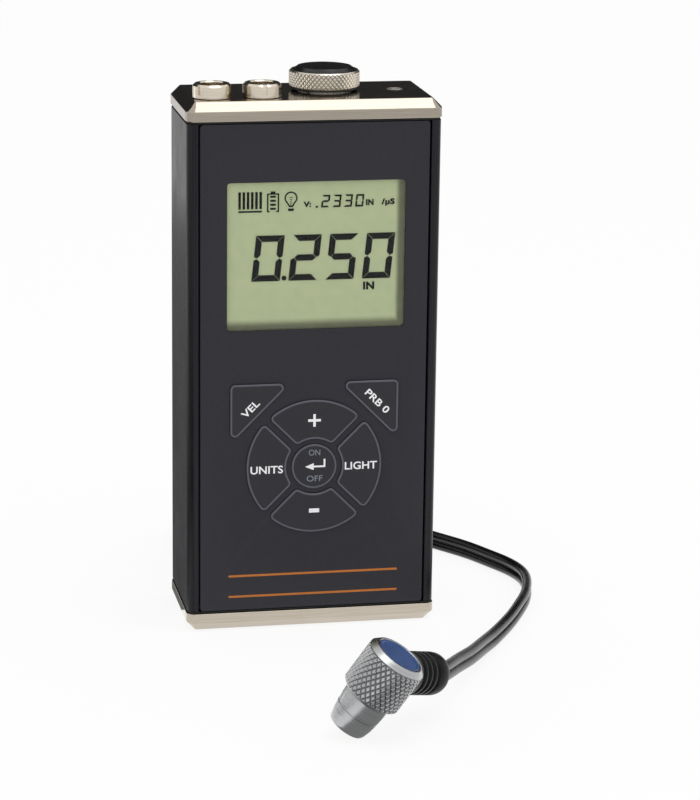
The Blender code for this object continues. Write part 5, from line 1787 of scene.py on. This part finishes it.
    def build(self) -> None:
        """Builds the display."""
        self.build_reading()
        self.build_signs()
        for node, material in (("lcd_glass", self.glass()), ("display_window", self.window())):
            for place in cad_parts[node].material_slots:
                place.material = material
        dressed("lcd_backlight", BACKLIGHT)


@dataclass(frozen=True)
class Knurl:
    """Raised diamonds round a turned band.

    radius is the band's ground and low and high its ends. columns and rows count half-diamonds
    round it and up it. slope is the width of a diamond's sides, depth how far it stands out and
    groove half the width of the flat groove between two.
    """

    radius: float
    low: float
    high: float
    columns: int
    rows: int
    slope: float
    depth: float
    groove: float = 0.00004

    def band(self) -> Outline:
        """The band's profile below its top, a point for each row."""
        pitch = (self.high - self.low) / self.rows
        return [(self.radius, self.high - pitch * i) for i in range(1, self.rows + 1)]

    def turned(self, profile: Outline) -> Bench:
        """Turns a profile, with a step for each column, and raises the diamonds on its band.

        Args:
            profile: The whole piece's profile, with the band in it.

        Returns:
            The bench with the piece on it.
        """
        bench = Bench.turned(profile, self.columns)
        shape = bench.shape
        pitch = (self.high - self.low) / self.rows
        odd, even = set(), set()
        for vert in shape.verts:
            x, y, z = vert.co
            if self.off_ground(vert) or not self.low - NEAR < z < self.high + NEAR:
                continue
            column = round(math.atan2(y, x) / FULL_TURN * self.columns)
            (odd if (column + round((z - self.low) / pitch)) % 2 else even).add(vert)
        both = odd | even
        for face in [face for face in shape.faces if both.issuperset(face.verts)]:
            bmesh.utils.face_split(face, *[vert for vert in face.verts if vert in odd])
        inner = [
            edge for edge in shape.edges
            if (edge.verts[0] in odd) != (edge.verts[1] in odd)
            and both.issuperset(edge.verts) and not self.is_rim(edge)
        ]
        bmesh.ops.dissolve_edges(shape, edges=inner, use_verts=True)
        diamonds = [
            face for face in shape.faces
            if abs(face.normal.z) < 0.1 and self.low < face.calc_center_median().z < self.high
            and not any(self.off_ground(vert) for vert in face.verts)
        ]
        valleys = bmesh.ops.inset_individual(
            shape, faces=diamonds, thickness=self.groove, depth=0, use_even_offset=True
        )["faces"]
        # The flat grooves take the piece's second, darker finish: painted shade between the diamonds.
        for face in valleys:
            face.material_index = 1
        bmesh.ops.inset_individual(
            shape, faces=diamonds, thickness=self.slope, depth=self.depth, use_even_offset=True
        )
        return bench

    def off_ground(self, vert: bmesh.types.BMVert) -> bool:
        """Whether a vertex is away from the band's ground radius."""
        return not abs(math.hypot(vert.co.x, vert.co.y) - self.radius) < NEAR

    def is_rim(self, edge: bmesh.types.BMEdge) -> bool:
        """Whether an edge lies level along the band's top or foot.

        Args:
            edge: The edge.

        Returns:
            Whether it does.
        """
        first, second = (vert.co.z for vert in edge.verts)
        return first == second and min(abs(first - end) for end in (self.low, self.high)) < NEAR


@dataclass
class BatteryCap:
    """The knurled cap over the cells, its black disc and its seal."""

    at: Point = (0.005207, 0.00249, 0.1343)
    radius: float = 0.0088
    low: float = 0.0009
    high: float = 0.0050
    spigot_radius: float = 0.0070
    spigot_depth: float = 0.0035
    knurl_depth: float = 0.00026
    columns: int = 96
    rows: int = 6
    disc_radius: float = 0.0078
    disc_rise: float = 0.0012
    disc_seat: float = 0.0008
    dome: Steps = ((0.3, 0.00002), (0.55, 0.00008), (0.8, 0.00018), (0.95, 0.00028), (1.0, 0.00034))
    seal_radius: float = 0.0083

    def build(self) -> None:
        """Builds the cap, the disc and the seal."""
        at = Matrix.Translation(self.at)
        ground, high = self.radius - self.knurl_depth, self.high - 0.00022
        knurl = Knurl(ground, self.low + 0.00012, high, self.columns, self.rows, 0.00024, self.knurl_depth)
        seat, hole = self.high - self.disc_seat, self.disc_radius + FIT
        profile = [(0, seat), (hole, seat), (hole, self.high - EDGE), (hole + EDGE, self.high)]
        profile += [(ground - 0.00016, self.high), (ground, high), *knurl.band()]
        profile += [(ground - EDGE, self.low), (self.spigot_radius, self.low)]
        profile += [(self.spigot_radius, EDGE - self.spigot_depth)]
        profile += [(self.spigot_radius - EDGE, -self.spigot_depth), (0, -self.spigot_depth)]
        bench = knurl.turned(profile)
        # The second finish, the darker one on the knurl's grooves, is painted shade.
        bench.piece("knurled_cap", "battery_cap", [KNOB_NICKEL, KNURL_GROOVE_SHADE], at, ["battery_cap"], 28.0)
        top = self.high + self.disc_rise
        shoulder = self.disc_radius - 0.0011
        disc = [(0, top)] + [(shoulder * share, top - fall) for share, fall in self.dome]
        disc.append((shoulder + EDGE, top - 0.00044))
        disc += [(self.disc_radius, self.high + EDGE), (self.disc_radius, seat + FIT), (0, seat + FIT)]
        Bench.turned(disc, 96).piece(
            "black_cap_disc", "battery_cap", [BLACK_CAP.turned_on(at)], at, ["battery_cap_disc"], 30.0
        )
        inner, foot, edge = self.spigot_radius + FIT, 0.0003, 0.00025
        seal = [(inner, foot + 0.0005), (self.seal_radius - edge, foot + 0.0005)]
        seal += arc((self.seal_radius - edge, foot + edge), edge, math.radians(60), math.radians(-60), 4)
        seal += [(self.seal_radius - edge, foot), (inner, foot)]
        Bench.turned(seal, 72, True).piece(
            "cap_seal_ring", "battery_cap_seal", [SEAL], at, ["battery_cap_seal"]
        )


@dataclass
class Sockets:
    """The two round sockets for the probe's plugs."""

    places: tuple[tuple[str, float, float], ...] = (("left", -0.0243014, 45.0), ("right", -0.0119507, 0.0))
    y: float = -0.0069993
    top: float = 0.1343
    radius: float = 0.00475
    height: float = 0.0035
    edge: float = 0.0005
    bore: float = 0.0033
    thread_radius: float = 0.0036
    depth: float = 0.0095
    recess: float = 0.0013
    bore_groove: Steps = ((0.0, 0.0009), (0.00012, 0.00105), (0.00012, 0.00165), (0.0, 0.0018))
    notch_depth: float = 0.0004
    notch_foot: float = 0.0010
    insert_radius: float = 0.0026
    contact_radius: float = 0.0007
    steps: int = 108
    notch_steps: int = 4

    def shell(self) -> Bench:
        """The socket's barrel, without its notches.

        Returns:
            The bench with the barrel on it.
        """
        high, out = self.height, self.radius
        bore = self.insert_radius + FIT
        profile = [(self.bore + 0.0003, high), (out - self.edge, high), (out, high - self.edge)]
        profile += [(out, self.notch_foot), (out, EDGE * 2), (out - EDGE, EDGE)]
        profile += [(self.thread_radius, EDGE), (self.thread_radius, -self.depth)]
        profile += [(bore, -self.depth), (bore, -self.recess)]
        profile += [(self.bore, -self.recess)]
        profile += [(self.bore + deep, up) for deep, up in self.bore_groove]
        profile.append((self.bore, high - 0.0003))
        return Bench.turned(profile, self.steps, True)

    def cut_notches(self, bench: Bench, first: float) -> None:
        """Cuts the four spanner notches.

        Args:
            bench: The barrel.
            first: The first notch's direction, in degrees.
        """
        inside = self.radius - self.notch_depth
        half = (self.notch_steps / 2 + 0.1) * FULL_TURN / self.steps
        for i in range(4):
            middle = math.radians(first + 90 * i)
            faces = []
            for face in bench.shape.faces:
                centre = face.calc_center_median()
                off = (math.atan2(centre.y, centre.x) - middle + math.pi) % FULL_TURN - math.pi
                outside = math.hypot(centre.x, centre.y) > inside
                if abs(off) < half and outside and centre.z > self.notch_foot:
                    faces.append(face)
            moved, _ = bench.grown(faces)
            bmesh.ops.delete(bench.shape, geom=faces, context="FACES")
            for vert in moved:
                reach = math.hypot(vert.co.x, vert.co.y)
                if reach > inside:
                    vert.co.x *= inside / reach
                    vert.co.y *= inside / reach
        bench.clean()

    def build(self) -> None:
        """Builds both sockets with their inserts."""
        for tag, x, first in self.places:
            at = Matrix.Translation((x, self.y, self.top))
            bench = self.shell()
            self.cut_notches(bench, first)
            bench.piece(
                f"socket_barrel_{tag}", "gauge", [SOCKET_NICKEL.turned_on(at)], at,
                [f"socket_shell_{tag}"], 32.0,
            )
            end, pin, out = -self.recess, self.contact_radius, self.insert_radius
            profile = [(pin + 0.0003, end - EDGE), (pin + 0.0004, end), (out - 0.0002, end)]
            profile += [(out, end - 0.0002), (out, -0.0100), (0, -0.0100)]
            profile += [(0, end - 0.0035), (pin, end - 0.0035), (pin, end - 0.0003)]
            Bench.turned(profile, 48).piece(
                f"socket_core_{tag}", "gauge", [INSULATOR], at, [f"socket_insert_{tag}"]
            )


@dataclass
class Probe:
    """The dual probe: nose, knurled cap, blue disc and side boot."""

    x: float = -0.0056
    y: float = -0.0923
    tilt: float = math.radians(33.9)
    heading: float = math.radians(-19.4)
    twist: float = math.radians(59.0)
    face_radius: float = 0.0046
    nose_radius: float = 0.0057
    nose_length: float = 0.009
    bore: float = 0.0037
    bore_depth: float = 0.006
    cap_radius: float = 0.0073
    cap_length: float = 0.0125
    chamfer: float = 0.0012
    stem: float = 0.0049
    disc_radius: float = 0.0054
    disc_depth: float = 0.0008
    columns: int = 64
    rows: int = 10
    knurl_depth: float = 0.00034
    boot_radius: float = 0.0051
    boot_reach: float = 0.0213
    boot_drop: float = 0.0054
    lead_hole: float = 0.00245
    rib_pitch: float = 0.0021
    boot_start: float = 0.0052
    boot_round: float = 0.003
    ribs: int = 4
    rib: Steps = ((0.0, 0.00066), (0.0001, 0.00052), (0.0005, 0.00034), (0.0006, 0.0002))
    nose_groove: Steps = ((0.0, 0.0048), (0.00015, 0.00472), (0.00015, 0.00458), (0.0, 0.0045))

    def stand(self) -> Matrix:
        """The place of the probe's face, with Z up its axis and X along its boot.

        Returns:
            The place.
        """
        at = Matrix.Translation((self.x, self.y, self.face_radius * math.sin(self.tilt)))
        turn = Matrix.Rotation(self.heading, 4, "Z") @ Matrix.Rotation(self.tilt, 4, "Y")
        return at @ turn @ Matrix.Rotation(self.twist, 4, "Z")

    def build_nose(self, stand: Matrix, steel: Finish) -> None:
        """The nose housing, slightly full, with a fine groove.

        Args:
            stand: The probe's place.
            steel: Its finish.
        """
        full, length = self.nose_radius, self.nose_length
        slope = full - self.face_radius
        waist, belly = self.face_radius + slope * 0.75, self.face_radius + slope * 0.48
        inside = length + self.cap_length / 2
        profile = [(0, inside), (self.stem, inside), (self.stem, length)]
        profile += [(full - 0.00015, length - EDGE), (full, length - 0.00025)]
        profile += [(full - slope * 0.05, length * 0.78), (full - slope * 0.16, length * 0.62)]
        profile += [(waist - deep, up) for deep, up in self.nose_groove]
        profile += [(belly + slope * 0.14, 0.0034), (belly, 0.00225)]
        profile.append((self.face_radius + slope * 0.16, 0.0009))
        profile += [(self.face_radius + 0.00006, 0.0002), (self.face_radius - EDGE, 0)]
        profile += [(self.bore, 0), (self.bore, self.bore_depth), (0, self.bore_depth)]
        Bench.turned(profile, 96).piece("probe_nose", "gauge", [steel], stand, ["probe_body"], 30.0)

    def build_cap(self, stand: Matrix, steel: Finish) -> None:
        """The knurled cap with a plain bevel, and the disc in its top.

        Args:
            stand: The probe's place.
            steel: The cap's finish.
        """
        low, high = self.nose_length + 0.0003, self.nose_length + self.cap_length
        ground, bevel = self.cap_radius - self.knurl_depth, self.cap_radius - self.chamfer
        band = (low + 0.0004, high - self.chamfer - 0.0003)
        knurl = Knurl(ground, *band, self.columns, self.rows, 0.00022, self.knurl_depth)
        hole, seat = self.disc_radius + FIT, high - self.disc_depth
        ceiling, hollow = self.nose_length + self.cap_length / 2 + 0.0003, self.stem + 0.0003
        profile = [(0, seat), (hole, seat), (hole, high - EDGE), (hole + EDGE, high)]
        profile += [(bevel - EDGE, high), (bevel, high - EDGE / 2)]
        profile += [(self.cap_radius - EDGE, high - self.chamfer), (ground, knurl.high), *knurl.band()]
        profile += [(ground - 0.0004, low), (hollow, low), (hollow, ceiling), (0, ceiling)]
        # The darker finish on the knurl's grooves is painted shade.
        valley = PROBE_KNURL_GROOVE_SHADE.turned_on(stand)
        knurl.turned(profile).piece(
            "probe_knurled_cap", "gauge", [steel, valley], stand, ["probe_cap"], 28.0
        )
        rim, edge = high - EDGE, self.disc_radius
        disc = [(0, rim), (edge - 0.0007, rim), (edge - 0.0006, high), (edge - EDGE, high)]
        disc += [(edge, rim), (edge, seat + FIT), (0, seat + FIT)]
        blue = BLUE.turned_on(stand)
        Bench.turned(disc, 72).piece("probe_blue_disc", "gauge", [blue], stand, ["probe_disc"])

    def build_boot(self, stand: Matrix) -> None:
        """The ribbed rubber boot.

        Args:
            stand: The probe's place.
        """
        end, out, hole = self.boot_reach, self.boot_radius, self.lead_hole
        profile: Outline = [(0, end), (hole - 0.0002, end), (hole, end - 0.00005)]
        for degrees in (15, 30, 45, 60, 75, 90):
            a = math.radians(degrees)
            radius, drop = hole + (out - hole) * math.sin(a), self.boot_round * (1 - math.cos(a))
            profile.append((radius, end - drop))
        first = self.cap_radius + self.rib_pitch * (self.ribs - 0.4)
        for i in range(self.ribs):
            at = first - self.rib_pitch * i
            profile += [(out - deep, at + up) for deep, up in self.rib]
            profile += [(out - deep, at - up) for deep, up in reversed(self.rib)]
        profile += [(out, self.boot_start), (0, self.boot_start)]
        level = Matrix.Translation((0, 0, self.nose_length + self.cap_length - self.boot_drop))
        at = stand @ level @ Matrix.Rotation(math.pi / 2, 4, "Y")
        Bench.turned(profile, 72).piece("probe_rubber_boot", "gauge", [BOOT], at, ["probe_boot"], 50.0)

    def build(self) -> None:
        """Builds the probe."""
        stand = self.stand()
        steel = STEEL.turned_on(stand)
        self.build_nose(stand, steel)
        self.build_cap(stand, steel)
        self.build_boot(stand)
        dressed("probe_face_transmit", DELAY)
        dressed("probe_face_receive", DELAY)
        dressed("probe_barrier", CORK)


@dataclass
class Insides:
    """What the closed case hides, which keeps its CAD shape."""

    finishes: dict[str, Finish] = field(default_factory=lambda: {
        "main_board": BOARD,
        "battery_tube": BLACK_PLASTIC,
        "battery_cell_upper": CELL_JACKET,
        "battery_cell_lower": CELL_JACKET,
        "battery_spring": SPRING,
    })

    def build(self) -> None:
        """Gives each hidden part its finish."""
        for node, finish in self.finishes.items():
            dressed(node, finish)


def main() -> None:
    """Builds every sub-assembly in order."""
    logging.basicConfig(level=logging.INFO, format="%(message)s")
    studio, leads, plugs = Studio(), Leads(), Plugs()
    studio.build()
    leads.build_twin_lead()
    plugs.build()
    leads.build_tails(plugs)
    for assembly in (Case(), Panel(), Display(), BatteryCap(), Sockets(), Probe(), Insides()):
        assembly.build()
        LOG.info("%s done", type(assembly).__name__)


if __name__ == "__main__":
    main()
